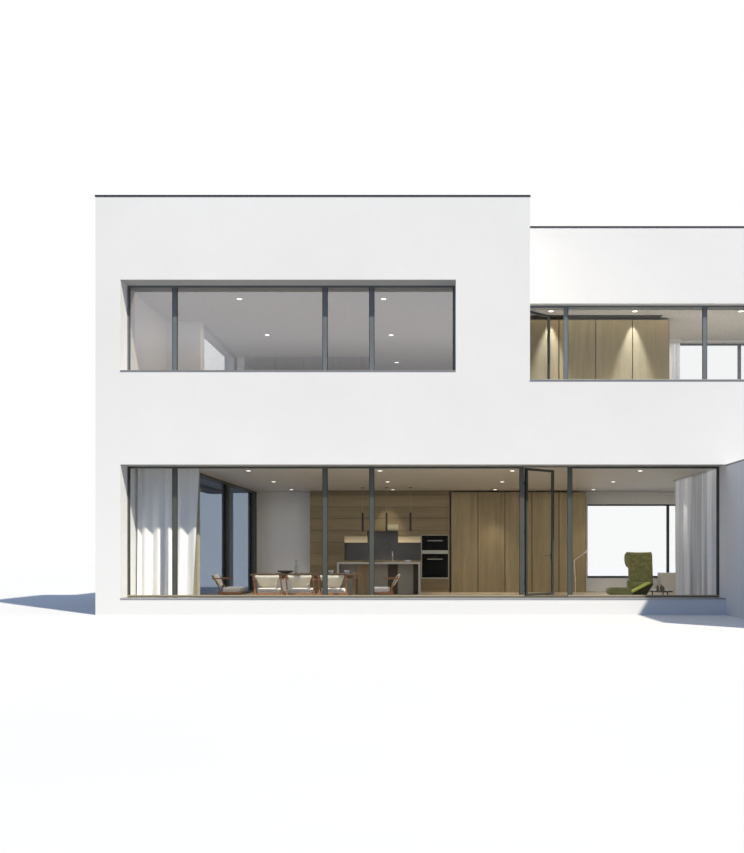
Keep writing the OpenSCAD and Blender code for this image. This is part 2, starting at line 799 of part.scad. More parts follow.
module kitchen_wall() {
    color("tan") place() difference() {
        block(kitchen_x, kitchen_x + kitchen_w, kitchen_y, in_back, floor_z, ceiling_z);
        block(niche_l, niche_r, kitchen_y - 1, kitchen_y + niche_d, niche_z, niche_top);
        block(niche_l + shelf_w, niche_r - shelf_w, kitchen_y - 1, kitchen_y + niche_d, niche_z,
            niche_top + hood_h);
        block(oven_x, oven_x + oven_w, kitchen_y - 1, kitchen_y + oven_d, oven_z, oven_z + oven_h);
        block(oven_x, oven_x + oven_w, kitchen_y - 1, kitchen_y + oven_d, upper_oven_z,
            upper_oven_z + upper_oven_h);
    }
}

module splashback() {
    y1 = kitchen_y + niche_d;
    color("dimgray") place() {
        block(niche_l, niche_r, y1 - splash_t, y1, niche_z, niche_top);
        block(niche_l + shelf_w, niche_r - shelf_w, y1 - splash_t, y1, niche_z, niche_top + hood_h);
    }
}

module shelf_boxes() {
    y0 = kitchen_y + 20;
    y1 = kitchen_y + niche_d - splash_t;
    color("burlywood") place() for (x = [niche_l, niche_r - shelf_w])
        block(x, x + shelf_w, y0, y1, niche_top - shelf_h, niche_top);
}

// Two built-in ovens with bar handles
module ovens() {
    color("black") place() for (o = [[oven_z, oven_h], [upper_oven_z, upper_oven_h]]) {
        block(oven_x, oven_x + oven_w, kitchen_y - 12, kitchen_y + oven_d, o[0], o[0] + o[1]);
        for (x = [oven_x + 0.2 * oven_w, oven_x + 0.8 * oven_w])
            block(x - 6, x + 6, kitchen_y - 50, kitchen_y - 12, o[0] + o[1] - 150, o[0] + o[1] - 138);
        translate([oven_x + 0.15 * oven_w, kitchen_y - 50, o[0] + o[1] - 144]) rotate([0, 90, 0])
            cylinder(r = 9, h = 0.7 * oven_w);
    }
}

module tall_cupboards() {
    groove_w = 14;
    groove_d = 22;
    color("tan") place() difference() {
        block(cupboard_x, cupboard_x + cupboards * cupboard_w, kitchen_y, in_back, floor_z,
            ceiling_z - shadow_gap);
        for (i = [1 : cupboards - 1]) block(cupboard_x + i * cupboard_w - groove_w / 2,
            cupboard_x + i * cupboard_w + groove_w / 2, kitchen_y - 1, kitchen_y + groove_d,
            floor_z + 60, ceiling_z);
    }
}

// Top with end panels down to the floor
module island_top() {
    color("whitesmoke") place() difference() {
        block(island_x, island_x + island_w, island_y, island_y + island_d, floor_z, floor_z + island_h);
        block(island_x + island_t, island_x + island_w - island_t, island_y - 1, island_y + island_d + 1,
            floor_z - 1, floor_z + island_h - island_t);
    }
}

module island_cabinet() {
    inset = 250;
    color("rosybrown") place() block(island_x + island_t, island_x + island_w - island_t, island_y + inset,
        island_y + island_d - 20, floor_z, floor_z + island_h - island_t);
}

// Furniture

module dining_table() {
    leg = 55;
    inset = 60;
    color("peru") place() translate([table_x, table_y, floor_z]) {
        translate([0, 0, table_h - table_t]) cube([table_w, table_d, table_t]);
        for (x = [inset, table_w - inset - leg], y = [inset, table_d - inset - leg])
            translate([x, y, 0]) cube([leg, leg, table_h - table_t]);
        translate([inset, table_d / 2 - 20, table_h - table_t - 70]) cube([table_w - 2 * inset, 40, 70]);
        for (x = [inset, table_w - inset - leg])
            translate([x, inset, table_h - table_t - 70]) cube([leg, table_d - 2 * inset, 70]);
    }
}

// Places of the dining chairs: x, y and turn
chair_places = concat([for (i = [0 : 2]) [chair_x + i * chair_step, chair_y, 0]],
    [[table_x - end_chair_out, table_y + table_d / 2, -90],
    [table_x + table_w + end_chair_out, table_y + table_d / 2, 90]]);
chair_post_x = chair_w / 2 - chair_leg_r;
chair_rail_z = seat_h - 128;
chair_rail_h = 38;
back_pad_y = 165;
back_pad_z = seat_h + 12;
post_foot_y = 120;

// Round bar between two points, with round ends
module rod(a, b, r) {
    v = b - a;
    translate(a) rotate([0, acos(v[2] / norm(v)), atan2(v[1], v[0])]) cylinder(r = r, h = norm(v));
    translate(b) sphere(r = r);
}

// Carries its children from upright to the lean of the chair's back
module chair_back_pose() {
    translate([0, back_pad_y, back_pad_z]) rotate([back_lean, 0, 0]) children();
}

// Wooden chair frame, back at y = 0, facing +y: splayed rear legs run on as leaning posts beside the back pad
module chair_frame() {
    px = chair_post_x;
    y1 = chair_d - chair_leg_r - 14;
    knee_y = back_pad_y + pad_t / 2 + 22;
    knee_z = back_pad_z - 42;
    arm_z = back_pad_z + 160;
    for (s = [-1, 1]) {
        rod([s * px, post_foot_y, 0], [s * px, knee_y, knee_z], chair_leg_r);
        chair_back_pose() translate([s * px, pad_t / 2, -51]) cylinder(r = chair_leg_r, h = back_pad_h + 30);
        translate([s * px, y1, 0]) cylinder(r = chair_leg_r, h = chair_rail_z + chair_rail_h);
        translate([s * px - 8, knee_y - 20, chair_rail_z]) cube([16, y1 - knee_y + 20, chair_rail_h]);
        translate([s * px - 20, 50, arm_z]) cube([40, 300, 24]);
        translate([s * px, 350, arm_z]) cylinder(r = 20, h = 24);
    }
    for (y = [knee_y - 12, y1 - 12]) translate([-px, y, chair_rail_z]) cube([2 * px, 20, chair_rail_h]);
}

module dining_chairs() {
    color("sienna") place() for (c = chair_places)
        translate([c[0], c[1], floor_z]) rotate([0, 0, c[2]]) difference() {
            chair_frame();
            block(-chair_w, chair_w, -chair_d, 2 * chair_d, -2 * chair_leg_r, 0);
        }
}

// Back pad outline: straight top, sides that draw in to a rounded foot
module back_pad_outline() {
    w = chair_post_x - chair_leg_r - seat_clear;
    r = 110;
    wide_top = 35;
    steps = 6;
    right = [for (i = [0 : steps]) [w - 50 - r + r * sin(90 * i / steps), r - r * cos(90 * i / steps)]];
    left = [for (i = [steps : -1 : 0]) [-right[i][0], right[i][1]]];
    top = [[w, back_pad_h - wide_top], [w, back_pad_h], [-w, back_pad_h], [-w, back_pad_h - wide_top]];
    polygon(concat(right, top, left));
}

// Seat and back pads of the dining chairs
module chair_pads() {
    w = chair_post_x - chair_leg_r - seat_clear;
    rail_top = chair_rail_z + chair_rail_h;
    color("beige") place() for (c = chair_places)
        translate([c[0], c[1], floor_z]) rotate([0, 0, c[2]]) {
            block(-w, w, back_pad_y + 68, chair_d - 4, rail_top + seat_clear, seat_h);
            chair_back_pose() translate([0, pad_t, 0]) rotate([90, 0, 0])
                linear_extrude(pad_t) back_pad_outline();
        }
}

module pendant_lamps() {
    y = island_y + island_d / 2;
    color("black") place() for (i = [0 : 2]) translate([pendant_x + i * pendant_step, y, 0]) {
        translate([0, 0, floor_z + pendant_h]) cylinder(r = 26, h = pendant_l);
        translate([0, 0, floor_z + pendant_h + pendant_l])
            cylinder(r = 5, h = ground_room_h - pendant_h - pendant_l - 20);
        translate([0, 0, ceiling_z - 25]) cylinder(r = 45, h = 25);
    }
}

// Lounge chair's place, its plinth, seat and back
lounge_x = 10560;
lounge_y = 5900;
lounge_back_w = 660;
lounge_back_h = 850;
lounge_back_d = 130;
lounge_seat_d = 440;
lounge_seat_y = 480;
lounge_body_x = 505;
lounge_body_w = 600;
lounge_body_d = 240;
lounge_seat_z = 250;

// High-backed lounge chair: a slanted seat shell on a plinth, low arms and a tall curved back
module lounge_chair() {
    arm_w = 80;
    arm_h = 110;
    bend = 180 / 12;
    color("olivedrab") place() translate([lounge_x, lounge_y, floor_z]) {
        translate([0, lounge_seat_y, 0]) rotate([90, 0, 0]) linear_extrude(lounge_seat_d)
            polygon([[470, 0], [1010, 0], [1090, 290], [1080, 345], [1030, 345], [540, 85], [450, 40]]);
        translate([lounge_body_x + 15, 700, lounge_seat_z]) rotate([-8, 0, 0]) linear_extrude(lounge_back_h)
            polygon([for (i = [0 : 12])
                [lounge_back_w / 2 * (1 - cos(bend * i)) - 10, lounge_back_d * sin(bend * i)]]);
        for (x = [lounge_body_x, lounge_body_x + lounge_body_w - arm_w + 25])
            translate([x, lounge_seat_y, lounge_seat_z]) cube([arm_w, lounge_body_d, arm_h]);
        translate([lounge_body_x, lounge_seat_y + 80, 0])
            cube([lounge_body_w, lounge_body_d, lounge_seat_z + 10]);
    }
}

// Footstool's place and size
stool_x = 10440;
stool_y = 5460;
stool_w = 570;
stool_d = 440;
stool_foot_h = 60;
stool_h = 160;
stool_inset = 60;

// Low footstool before the lounge chair, on a smaller plinth
module footstool() {
    color("olivedrab") place() translate([stool_x, stool_y, floor_z]) {
        translate([stool_inset, stool_inset, 0])
            cube([stool_w - 2 * stool_inset, stool_d - 2 * stool_inset, stool_foot_h]);
        translate([0, 0, stool_foot_h]) cube([stool_w, stool_d, stool_h]);
    }
}

lamp_x = 9681;
lamp_y = 5700;
lamp_foot_r = 120;

// Thin reading lamp: upright stem, two slanted arms and a small shade
module floor_lamp() {
    knee = [0, 0, 412];
    elbow = [-33, 0, 885];
    head = [215, 0, 1062];
    stem_r = 8;
    shade_tilt = 54;
    color("white") place() translate([lamp_x, lamp_y, floor_z]) {
        cylinder(r = lamp_foot_r, h = 12);
        cylinder(r = stem_r, h = knee[2]);
        translate(knee) sphere(r = 18);
        rod(knee, elbow, 9);
        rod(elbow, head, 7);
        translate(head) rotate([0, shade_tilt, 0]) cylinder(r = 22, h = 110);
    }
}

side_table_x = 10895;
side_table_y = 1900;
side_table_r = 235;
side_table_h = 293;
side_top_t = 18;

// Low round table near the garden front, with a shelf under its top
module side_table() {
    leg_at = 180;
    color("dimgray") place() translate([side_table_x, side_table_y, floor_z]) {
        translate([0, 0, side_table_h - side_top_t]) cylinder(r = side_table_r, h = side_top_t);
        for (a = [30, 150, 270]) translate([leg_at * cos(a), leg_at * sin(a), 0])
            cylinder(r = 11, h = side_table_h - side_top_t / 2);
        translate([0, 0, 60]) cylinder(r = side_table_r - 30, h = 12);
    }
}

// Low cupboard against the back wall, right of the large window's post
module sideboard() {
    color("gray") place() block(sideboard_x, sideboard_x + sideboard_w, in_back - sideboard_d, in_back, floor_z,
        floor_z + sideboard_h);
}

module wardrobe() {
    groove_w = 14;
    groove_d = 22;
    x1 = wardrobe_x + wardrobes * wardrobe_w;
    color("tan") place() difference() {
        block(wardrobe_x, x1, wardrobe_y, wardrobe_y + wardrobe_d, upper_z, upper_ceiling_z - shadow_gap);
        for (i = [1 : wardrobes - 1]) block(wardrobe_x + i * wardrobe_w - groove_w / 2,
            wardrobe_x + i * wardrobe_w + groove_w / 2, wardrobe_y - 1, wardrobe_y + groove_d,
            upper_z + 60, upper_ceiling_z);
    }
}

// Row of room-high cupboards in the main upper room
module upper_cupboards() {
    color("tan") place() block(cupboard_row_x, cupboard_row_x + cupboard_row_w, side_window_end,
        side_window_end + cupboard_row_d, upper_z, upper_ceiling_z);
}

// Curtains hang in folds from flat ceiling rails

module curtain_rails() {
    h = rail_h;
    d = rail_d / 2;
    color("white") place() {
        block(left_curtain_x, left_curtain_x + left_curtain_w, left_curtain_y - d, left_curtain_y + d,
            ceiling_z - h, ceiling_z);
        block(right_curtain_x - d, right_curtain_x + d, right_curtain_y, right_curtain_y + right_curtain_l,
            ceiling_z - h, ceiling_z);
        block(upper_curtain_x, upper_curtain_x + upper_curtain_w, upper_curtain_y - d, upper_curtain_y + d,
            upper_ceiling_z - h, upper_ceiling_z);
    }
}

// Folded strip of cloth along x, from 0 to l
module folds(l, z0, z1) {
    n = round(l / fold_w);
    steps = n * 6;
    a = (fold_d - curtain_t) / 2;
    front = [for (i = [0 : steps]) [l * i / steps, a * sin(360 * n * i / steps) - curtain_t / 2]];
    back = [for (i = [steps : -1 : 0]) [l * i / steps, a * sin(360 * n * i / steps) + curtain_t / 2]];
    translate([0, 0, z0]) linear_extrude(z1 - z0) polygon(concat(front, back));
}

module left_curtain() {
    color("white") place() translate([left_curtain_x, left_curtain_y, 0])
        folds(left_curtain_w, floor_z + curtain_clear, ceiling_z - rail_h - seat_clear);
}

module right_curtain() {
    color("white") place() translate([right_curtain_x, right_curtain_y, 0]) rotate([0, 0, 90])
        folds(right_curtain_l, floor_z + curtain_clear, ceiling_z - rail_h - seat_clear);
}

module upper_curtain() {
    color("white") place() translate([upper_curtain_x, upper_curtain_y, 0])
        folds(upper_curtain_w, upper_z + curtain_clear, upper_ceiling_z - rail_h - seat_clear);
}

ground_slab();
first_floor_slab();
roof_slab();
front_beam();
front_right_wall();
front_upstand();
left_front_wall();
left_upper_wall();
upper_front_wall();
balcony_parapet();
terrace_parapet();
set_back_wall();
balcony_side_wall();
right_wall();
right_upper_wall();
main_rear_wall();
main_side_rear_wall();
side_terrace_walls();
side_rear_wall();
side_upper_rear_wall();
wing_wall();
roof_coping();
parapet_coping();
window_sills();
ground_frames();
door_frame();
ground_glass();
door_leaf();
door_glass();
upper_frames();
upper_glass();
upper_leaf();
rear_frames();
rear_glass();
gallery_frames();
gallery_glass();
kitchen_wall();
splashback();
shelf_boxes();
ovens();
tall_cupboards();
island_top();
island_cabinet();
dining_table();
dining_chairs();
chair_pads();
pendant_lamps();
lounge_chair();
footstool();
floor_lamp();
side_table();
sideboard();
wardrobe();
upper_cupboards();
curtain_rails();
left_curtain();
right_curtain();
upper_curtain();
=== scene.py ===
import json
import math
import random

import bmesh
import bpy
from mathutils import Matrix, Vector


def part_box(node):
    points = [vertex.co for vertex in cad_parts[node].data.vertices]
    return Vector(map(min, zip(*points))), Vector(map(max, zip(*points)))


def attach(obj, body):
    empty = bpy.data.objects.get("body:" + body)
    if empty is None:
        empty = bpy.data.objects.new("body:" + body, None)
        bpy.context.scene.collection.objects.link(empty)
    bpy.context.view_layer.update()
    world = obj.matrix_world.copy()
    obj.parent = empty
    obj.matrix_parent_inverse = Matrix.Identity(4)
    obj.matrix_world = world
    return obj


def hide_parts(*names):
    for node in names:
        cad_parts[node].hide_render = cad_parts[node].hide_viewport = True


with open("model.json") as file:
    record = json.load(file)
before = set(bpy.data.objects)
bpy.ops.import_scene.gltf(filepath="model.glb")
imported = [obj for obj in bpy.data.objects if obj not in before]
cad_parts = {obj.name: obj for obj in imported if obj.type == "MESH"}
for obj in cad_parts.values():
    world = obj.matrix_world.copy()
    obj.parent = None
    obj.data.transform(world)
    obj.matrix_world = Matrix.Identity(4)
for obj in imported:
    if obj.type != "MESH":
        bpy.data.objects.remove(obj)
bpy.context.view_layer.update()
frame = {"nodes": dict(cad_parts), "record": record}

NODES = frame["nodes"]

# House coordinates are metres from the main block's left front corner at ground level; that corner in the frame
HOUSE_X, HOUSE_Y = -7.385, -2.825

# Shared levels, in house coordinates
FLOOR = 0.08
GROUND_CEILING, UPPER_CEILING = 2.84, 6.15
BETWEEN_STOREYS = 3.0

# Frames before FRONT_DEPTH belong to the main front; those before NEAR_DEPTH, to the set-back row too
FRONT_DEPTH, NEAR_DEPTH = 0.5, 2.1

# Window rows: frame and mullion widths, mullions of the main front and the set-back row, jambs, feet and heads
FRAME, MULLION, GASKET = 0.04, 0.08, 0.011
M1, M2, M3, M4, M5 = 1.358, 4.2, 5.085, 7.927, 8.832
S1, S2, S3 = 8.953, 11.795, 12.68
LEFT_JAMB, GROUND_RIGHT, UPPER_RIGHT, SET_BACK_RIGHT = 0.462, 11.66, 6.668, 14.2
GROUND_ROW, UPPER_ROW, SET_BACK_ROW = (0.313, 2.785), (4.53, 6.205), (3.4, 6.205)
FRONT_GLASS, SET_BACK_GLASS = 0.413, 1.92

X_AXIS, Y_AXIS = Vector((1, 0, 0)), Vector((0, 1, 0))


def at(x, y, z):
    """House coordinates to the frame's."""
    return Vector((x + HOUSE_X, y + HOUSE_Y, z))


def times(color, k):
    return tuple(min(1.0, c * k) for c in color)


def linked(name, data):
    """A new object in the scene."""
    obj = bpy.data.objects.new(name, data)
    bpy.context.scene.collection.objects.link(obj)
    return obj


# ------------ camera

EYE = (6.31, -18.315, 1.147)


def make_camera():
    """Level and square to the front; its shifts set the house in the picture as in the photo."""
    cam = bpy.data.cameras.new("camera")
    cam.sensor_width = 36.0
    cam.lens = 41.78
    cam.shift_x = -0.0756
    cam.shift_y = 0.1483
    cam.clip_end = 300.0
    obj = linked("camera", cam)
    obj.location = at(*EYE)
    obj.rotation_euler = (math.radians(90.0), 0.0, 0.0)
    bpy.context.scene.camera = obj


make_camera()


# ------------ materials

class Nodes:
    """Short calls for the nodes of one tree."""

    def __init__(self, tree, output):
        self.tree = tree
        tree.nodes.clear()
        self.out = self.node(output)

    def node(self, kind, attrs=None, **sockets):
        n = self.tree.nodes.new(kind)
        for key, value in (attrs or {}).items():
            setattr(n, key, value)
        for key, value in sockets.items():
            self.put(n.inputs[key.replace("_", " ")], value)
        return n

    def put(self, socket, value):
        if isinstance(value, bpy.types.NodeSocket):
            self.tree.links.new(value, socket)
        elif isinstance(value, (tuple, list)) and len(value) == 3 and socket.type == "RGBA":
            socket.default_value = (*value, 1.0)
        else:
            socket.default_value = value

    def math(self, op, a, b=0.0):
        n = self.node("ShaderNodeMath", {"operation": op})
        self.put(n.inputs[0], a)
        self.put(n.inputs[1], b)
        return n.outputs[0]

    def product(self, first, *others):
        for other in others:
            first = self.math("MULTIPLY", first, other)
        return first

    def blend(self, factor, first, second):
        """Ends the tree in a mix of two shaders."""
        mix = self.node("ShaderNodeMixShader")
        for k, value in enumerate((factor, first, second)):
            self.put(mix.inputs[k], value)
        self.put(self.out.inputs[0], mix.outputs[0])

    def seen(self):
        """1 for what the camera sees, straight on or by way of glass and metal."""
        rays = self.node("ShaderNodeLightPath").outputs
        direct = self.math("MAXIMUM", rays["Is Camera Ray"], rays["Is Glossy Ray"])
        return self.math("MAXIMUM", direct, rays["Is Transmission Ray"])


class Shader(Nodes):
    """A material, painted by place on the object and by the way its surface faces."""

    def __init__(self, name):
        self.mat = bpy.data.materials.new(name)
        self.mat.use_nodes = True
        super().__init__(self.mat.node_tree, "ShaderNodeOutputMaterial")
        self.pos = self.node("ShaderNodeTexCoord").outputs["Object"]

    def mix(self, factor, a, b):
        n = self.node("ShaderNodeMix", {"data_type": "RGBA"})
        self.put(n.inputs[0], factor)
        self.put(n.inputs[6], a)
        self.put(n.inputs[7], b)
        return n.outputs[2]

    def noise(self, scale, detail=3.0, rough=0.5, stretch=(1.0, 1.0, 1.0), distort=0.0):
        place = self.node("ShaderNodeMapping", Vector=self.pos, Scale=stretch).outputs[0]
        n = self.node("ShaderNodeTexNoise", Vector=place, Scale=scale, Detail=detail, Roughness=rough,
                      Distortion=distort)
        return n.outputs["Fac"]

    def spread(self, value, low, high, a=0.0, b=1.0):
        """Runs from a to b while the value runs from low to high."""
        n = self.node("ShaderNodeMapRange")
        for k, v in enumerate((value, low, high, a, b)):
            self.put(n.inputs[k], v)
        return n.outputs[0]

    def patches(self, scale, detail=3.0, rough=0.5, a=0.0, b=1.0):
        """Soft cloudy noise that runs from a to b."""
        return self.spread(self.noise(scale, detail, rough), 0.3, 0.7, a, b)

    def chance(self, number):
        """A random value for each whole number."""
        whole = self.math("FLOOR", number)
        return self.node("ShaderNodeTexWhiteNoise", {"noise_dimensions": "1D"}, W=whole).outputs["Value"]

    def axis(self, k):
        return self.node("ShaderNodeSeparateXYZ", Vector=self.pos).outputs[k]

    def below(self, k, value):
        return self.math("LESS_THAN", self.axis(k), value)

    def above(self, k, value):
        return self.math("GREATER_THAN", self.axis(k), value)

    def facing(self, k):
        """The surface normal's part along one axis."""
        normal = self.node("ShaderNodeNewGeometry").outputs["Normal"]
        return self.node("ShaderNodeSeparateXYZ", Vector=normal).outputs[k]

    def bump(self, height, distance, strength=1.0):
        return self.node("ShaderNodeBump", Height=height, Distance=distance, Strength=strength).outputs[0]

    def principled(self, spec=0.5, **sockets):
        n = self.node("ShaderNodeBsdfPrincipled", **sockets)
        n.inputs["Specular IOR Level"].default_value = spec
        self.put(self.out.inputs[0], n.outputs[0])
        return n

    def metal(self, color, scale, smooth, rough, metallic=0.0):
        """Sheet metal with a faint grain, whose roughness drifts from smooth to rough."""
        p = self.principled(Base_Color=color, Roughness=self.patches(scale, 3.0, 0.5, smooth, rough),
                            Metallic=metallic)
        self.put(p.inputs["Normal"], self.bump(self.noise(900.0, 2.0), 0.0002))


def mottled(name, color, vary, rough, patch=0.6, grain=0.0, grain_scale=400.0, metallic=0.0, spec=0.5):
    """A plain surface with soft cloudy tone changes and a fine grain."""
    s = Shader(name)
    tone = s.mix(s.patches(patch, 5.0, 0.6), times(color, 1.0 - vary), times(color, 1.0 + vary))
    p = s.principled(spec, Base_Color=tone, Metallic=metallic,
                     Roughness=s.patches(patch * 9.0, 3.0, 0.5, rough * 0.85, min(1.0, rough * 1.12)))
    if grain:
        s.put(p.inputs["Normal"], s.bump(s.noise(grain_scale, 2.0), grain))
    return s.mat


def plaster():
    """White render with faint clouds and drips; painted light makes it brighter towards the ground, and painted shade
    makes its soffits greyer.
    """
    s = Shader("white_render")
    base = s.mix(s.patches(0.35, 5.0, 0.6), (0.8, 0.8, 0.795), (0.86, 0.86, 0.855))
    base = s.mix(s.product(s.patches(9.0, 4.0, 0.6), 0.2), base, (0.8, 0.8, 0.795))
    dirt_drips_and_drip_shade = s.spread(s.noise(5.0, 4.0, 0.7, (1.0, 1.0, 0.12)), 0.56, 0.8)
    base = s.mix(s.product(dirt_drips_and_drip_shade, 0.06), base, (0.7, 0.7, 0.68))
    # Painted light: the render is whiter towards the ground
    base = s.mix(s.spread(s.axis(2), 0.3, 4.2, 0.85, 0.0), base, (0.905, 0.907, 0.905))
    # Painted shade: faces that look down, the soffits, are grey
    base = s.mix(s.math("LESS_THAN", s.facing(2), -0.5), base, (0.56, 0.57, 0.58))
    p = s.principled(0.2, Base_Color=base, Roughness=0.9)
    grain = s.math("ADD", s.noise(260.0, 3.0, 0.7), s.product(s.noise(30.0, 2.0), 0.6))
    s.put(p.inputs["Normal"], s.bump(grain, 0.0015, 0.6))
    return s.mat


def wood(name, light, dark, along, board=None, board_axis=2, rough=0.45, gap=0.004, shift=0.0):
    """Wood with its grain along one axis, in boards of a given width across board_axis if board is set."""
    s = Shader(name)
    stretch = tuple(0.06 if k == along else 1.0 for k in range(3))
    fibre = s.noise(70.0, 6.0, 0.65, stretch, 0.4)
    figure = s.noise(7.0, 4.0, 0.55, stretch, 1.2)
    tone = s.math("ADD", s.product(fibre, 0.45), s.product(figure, 0.55))
    height = s.product(fibre, 0.4)
    if board:
        place = s.math("DIVIDE", s.math("ADD", s.axis(board_axis), 20.0 + shift), board)
        tone = s.math("ADD", tone, s.product(s.math("SUBTRACT", s.chance(place), 0.5), 0.22))
        joint = s.math("LESS_THAN", s.math("PINGPONG", place, 0.5), gap / board)
        height = s.math("SUBTRACT", height, s.product(joint, 2.0))
    ramp = s.node("ShaderNodeValToRGB", Fac=s.spread(tone, 0.3, 0.7))
    ramp.color_ramp.elements[0].color = (*dark, 1.0)
    ramp.color_ramp.elements[1].color = (*light, 1.0)
    ramp.color_ramp.elements.new(0.5).color = (*((a + b) / 2 for a, b in zip(light, dark)), 1.0)
    color = s.mix(joint, ramp.outputs[0], times(dark, 0.3)) if board else ramp.outputs[0]
    p = s.principled(Base_Color=color, Roughness=s.spread(fibre, 0.3, 0.7, rough * 0.85, rough * 1.15))
    s.put(p.inputs["Normal"], s.bump(height, 0.0012, 0.7))
    return s.mat


def window_glass(name, tint, ior, front_ior=None, fade=None, mirror=(0.8, 0.8, 0.8)):
    """Clear glass that lets lamps through: it mirrors by its angle where light enters and only passes it on behind.
    With front_ior, the panes in the main front mirror more, as coated ones do, and less towards their foot by fade."""
    s = Shader(name)
    clear = s.node("ShaderNodeBsdfTransparent", Color=tint)
    wave = s.bump(s.noise(1.3, 1.0, 0.4), 0.004, 0.4)
    gloss = s.node("ShaderNodeBsdfGlossy", Color=mirror, Roughness=0.012, Normal=wave)
    factor = s.node("ShaderNodeFresnel", IOR=ior).outputs[0]
    if front_ior:
        in_front = s.below(1, HOUSE_Y + FRONT_DEPTH)
        strong = s.product(s.node("ShaderNodeFresnel", IOR=front_ior).outputs[0], s.spread(s.axis(2), *fade))
        factor = s.math("ADD", s.product(strong, in_front), s.product(factor, s.math("SUBTRACT", 1.0, in_front)))
    behind = s.node("ShaderNodeNewGeometry").outputs["Backfacing"]
    s.blend(s.product(factor, s.math("SUBTRACT", 1.0, behind)), clear.outputs[0], gloss.outputs[0])
    return s.mat


def cloth(name, color, vary=0.06, weave=900.0, translucent=0.0, fold_shade=0.0):
    """Woven cloth with uneven threads; the last argument darkens upright streaks as painted shade of folds."""
    s = Shader(name)
    tone = s.mix(s.patches(14.0, 4.0, 0.6), times(color, 1.0 - vary), times(color, 1.0 + vary))
    if fold_shade:
        # Painted shade: dark upright streaks where folds would be shaded
        fold_shade_mask = s.spread(s.noise(3.2, 3.0, 0.55, (1.0, 1.0, 0.03)), 0.4, 0.62, fold_shade, 0.0)
        tone = s.mix(fold_shade_mask, tone, times(color, 0.4))
    p = s.principled(0.2, Base_Color=tone, Roughness=0.9)
    p.inputs["Sheen Weight"].default_value = 0.3
    warp = s.node("ShaderNodeTexWave", Vector=s.pos, Scale=weave / 6.0, Distortion=1.5).outputs["Fac"]
    threads = s.math("ADD", s.noise(weave, 2.0), s.product(warp, 0.5))
    s.put(p.inputs["Normal"], s.bump(threads, 0.0008, 0.5))
    if translucent:
        through = s.node("ShaderNodeBsdfTranslucent", Color=tone)
        s.blend(translucent, p.outputs[0], through.outputs[0])
    return s.mat


def glow(name, color, strength):
    """A lamp's lens."""
    s = Shader(name)
    shine = s.product(s.patches(40.0, 2.0, 0.5, 0.95, 1.0), strength)
    s.put(s.out.inputs[0], s.node("ShaderNodeEmission", Color=color, Strength=shine).outputs[0])
    return s.mat


def coping_with_drip_shade():
    """Pale folded metal whose lowest 12 mm, at the drip edge, is painted dark as shade; it caps the parapets and the
    wing wall.
    """
    s = Shader("parapet_metal")
    drip_shade_height = 0.012
    # Painted shade: a dark band along the foot of each coping
    dirt_drips_and_drip_shade = [s.product(s.above(2, foot), s.below(2, foot + drip_shade_height)) for foot in (2.75, 4.325)]
    cloud = s.mix(s.patches(3.0, 4.0), (0.27, 0.275, 0.285), (0.31, 0.315, 0.325))
    s.metal(s.mix(s.math("MAXIMUM", *dirt_drips_and_drip_shade), cloud, (0.05, 0.052, 0.056)), 12.0, 0.35, 0.5, 0.4)
    return s.mat


def lit_wood():
    """Pale wood of the shelf boxes with painted light: it glows as if lit from inside, less towards its top edge."""
    s = Shader("lit_shelf_wood")
    grain = s.noise(60.0, 5.0, 0.6, (0.06, 1.0, 1.0), 0.4)
    color = s.mix(s.spread(grain, 0.3, 0.7), (0.44, 0.35, 0.2), (0.58, 0.48, 0.3))
    # Painted light: the wood glows, less towards the top edge
    fade = s.spread(s.axis(2), 1.46, 1.61, 1.0, 0.1)
    shine = s.mix(fade, (0.0, 0.0, 0.0), (0.88, 0.74, 0.48))
    p = s.principled(Base_Color=color, Roughness=0.5, Emission_Color=shine)
    p.inputs["Emission Strength"].default_value = 0.26
    return s.mat


def pendant_metal():
    """Black shades, and above their tops cords and canopies as pale as the ceiling."""
    shade_top = 2.188
    s = Shader("pendant_metal")
    worn = s.patches(30.0, 3.0)
    shade = s.mix(worn, (0.018, 0.018, 0.02), (0.028, 0.028, 0.03))
    cord = s.mix(worn, (0.27, 0.22, 0.15), (0.31, 0.25, 0.17))
    s.principled(Base_Color=s.mix(s.above(2, shade_top), shade, cord), Roughness=0.45)
    return s.mat


def frame_metal(name, upper):
    """Anthracite frames, bluer above; undersides near the front are painted pale, a painted reflection of the pale
    sill, and the garden row has a bronze foot bar.
    """
    s = Shader(name)
    cloud = s.patches(2.0, 5.0, 0.6)
    lower = s.mix(cloud, (0.05, 0.055, 0.048), (0.064, 0.071, 0.062))
    base = s.mix(s.above(2, BETWEEN_STOREYS), lower, s.mix(cloud, *upper))
    bar_foot, bar_head = 0.328, 0.3535
    bar = s.product(s.below(2, bar_head), s.above(2, bar_foot))
    square_on = s.math("LESS_THAN", s.math("ABSOLUTE", s.facing(0)), 0.5)
    base = s.mix(s.product(bar, s.below(1, HOUSE_Y + FRONT_DEPTH), square_on), base, (0.36, 0.31, 0.21))
    # Painted reflection: undersides of the front frames are pale like the sill below
    pale_underside = s.product(s.below(1, HOUSE_Y + NEAR_DEPTH), s.math("LESS_THAN", s.facing(2), -0.5))
    s.metal(s.mix(pale_underside, base, (0.42, 0.41, 0.39)), 18.0, 0.38, 0.5)
    return s.mat


def sill_metal():
    """Folded sill with painted light and shade: pale on top with its front edge painted darker; the garden row's is
    the other way round, its top painted darker and its front pale.
    """
    s = Shader("sill_metal")
    cloud = s.mix(s.patches(3.0, 5.0, 0.6), (0.38, 0.385, 0.4), (0.42, 0.425, 0.44))
    front, garden_row = s.math("LESS_THAN", s.facing(1), -0.5), s.below(2, 1.0)
    # Painted light and shade: the darker faces of each sill
    painted_dark_face = s.math("ABSOLUTE", s.math("SUBTRACT", front, garden_row))
    s.metal(s.mix(painted_dark_face, cloud, (0.225, 0.228, 0.235)), 27.0, 0.35, 0.45, 0.4)
    return s.mat


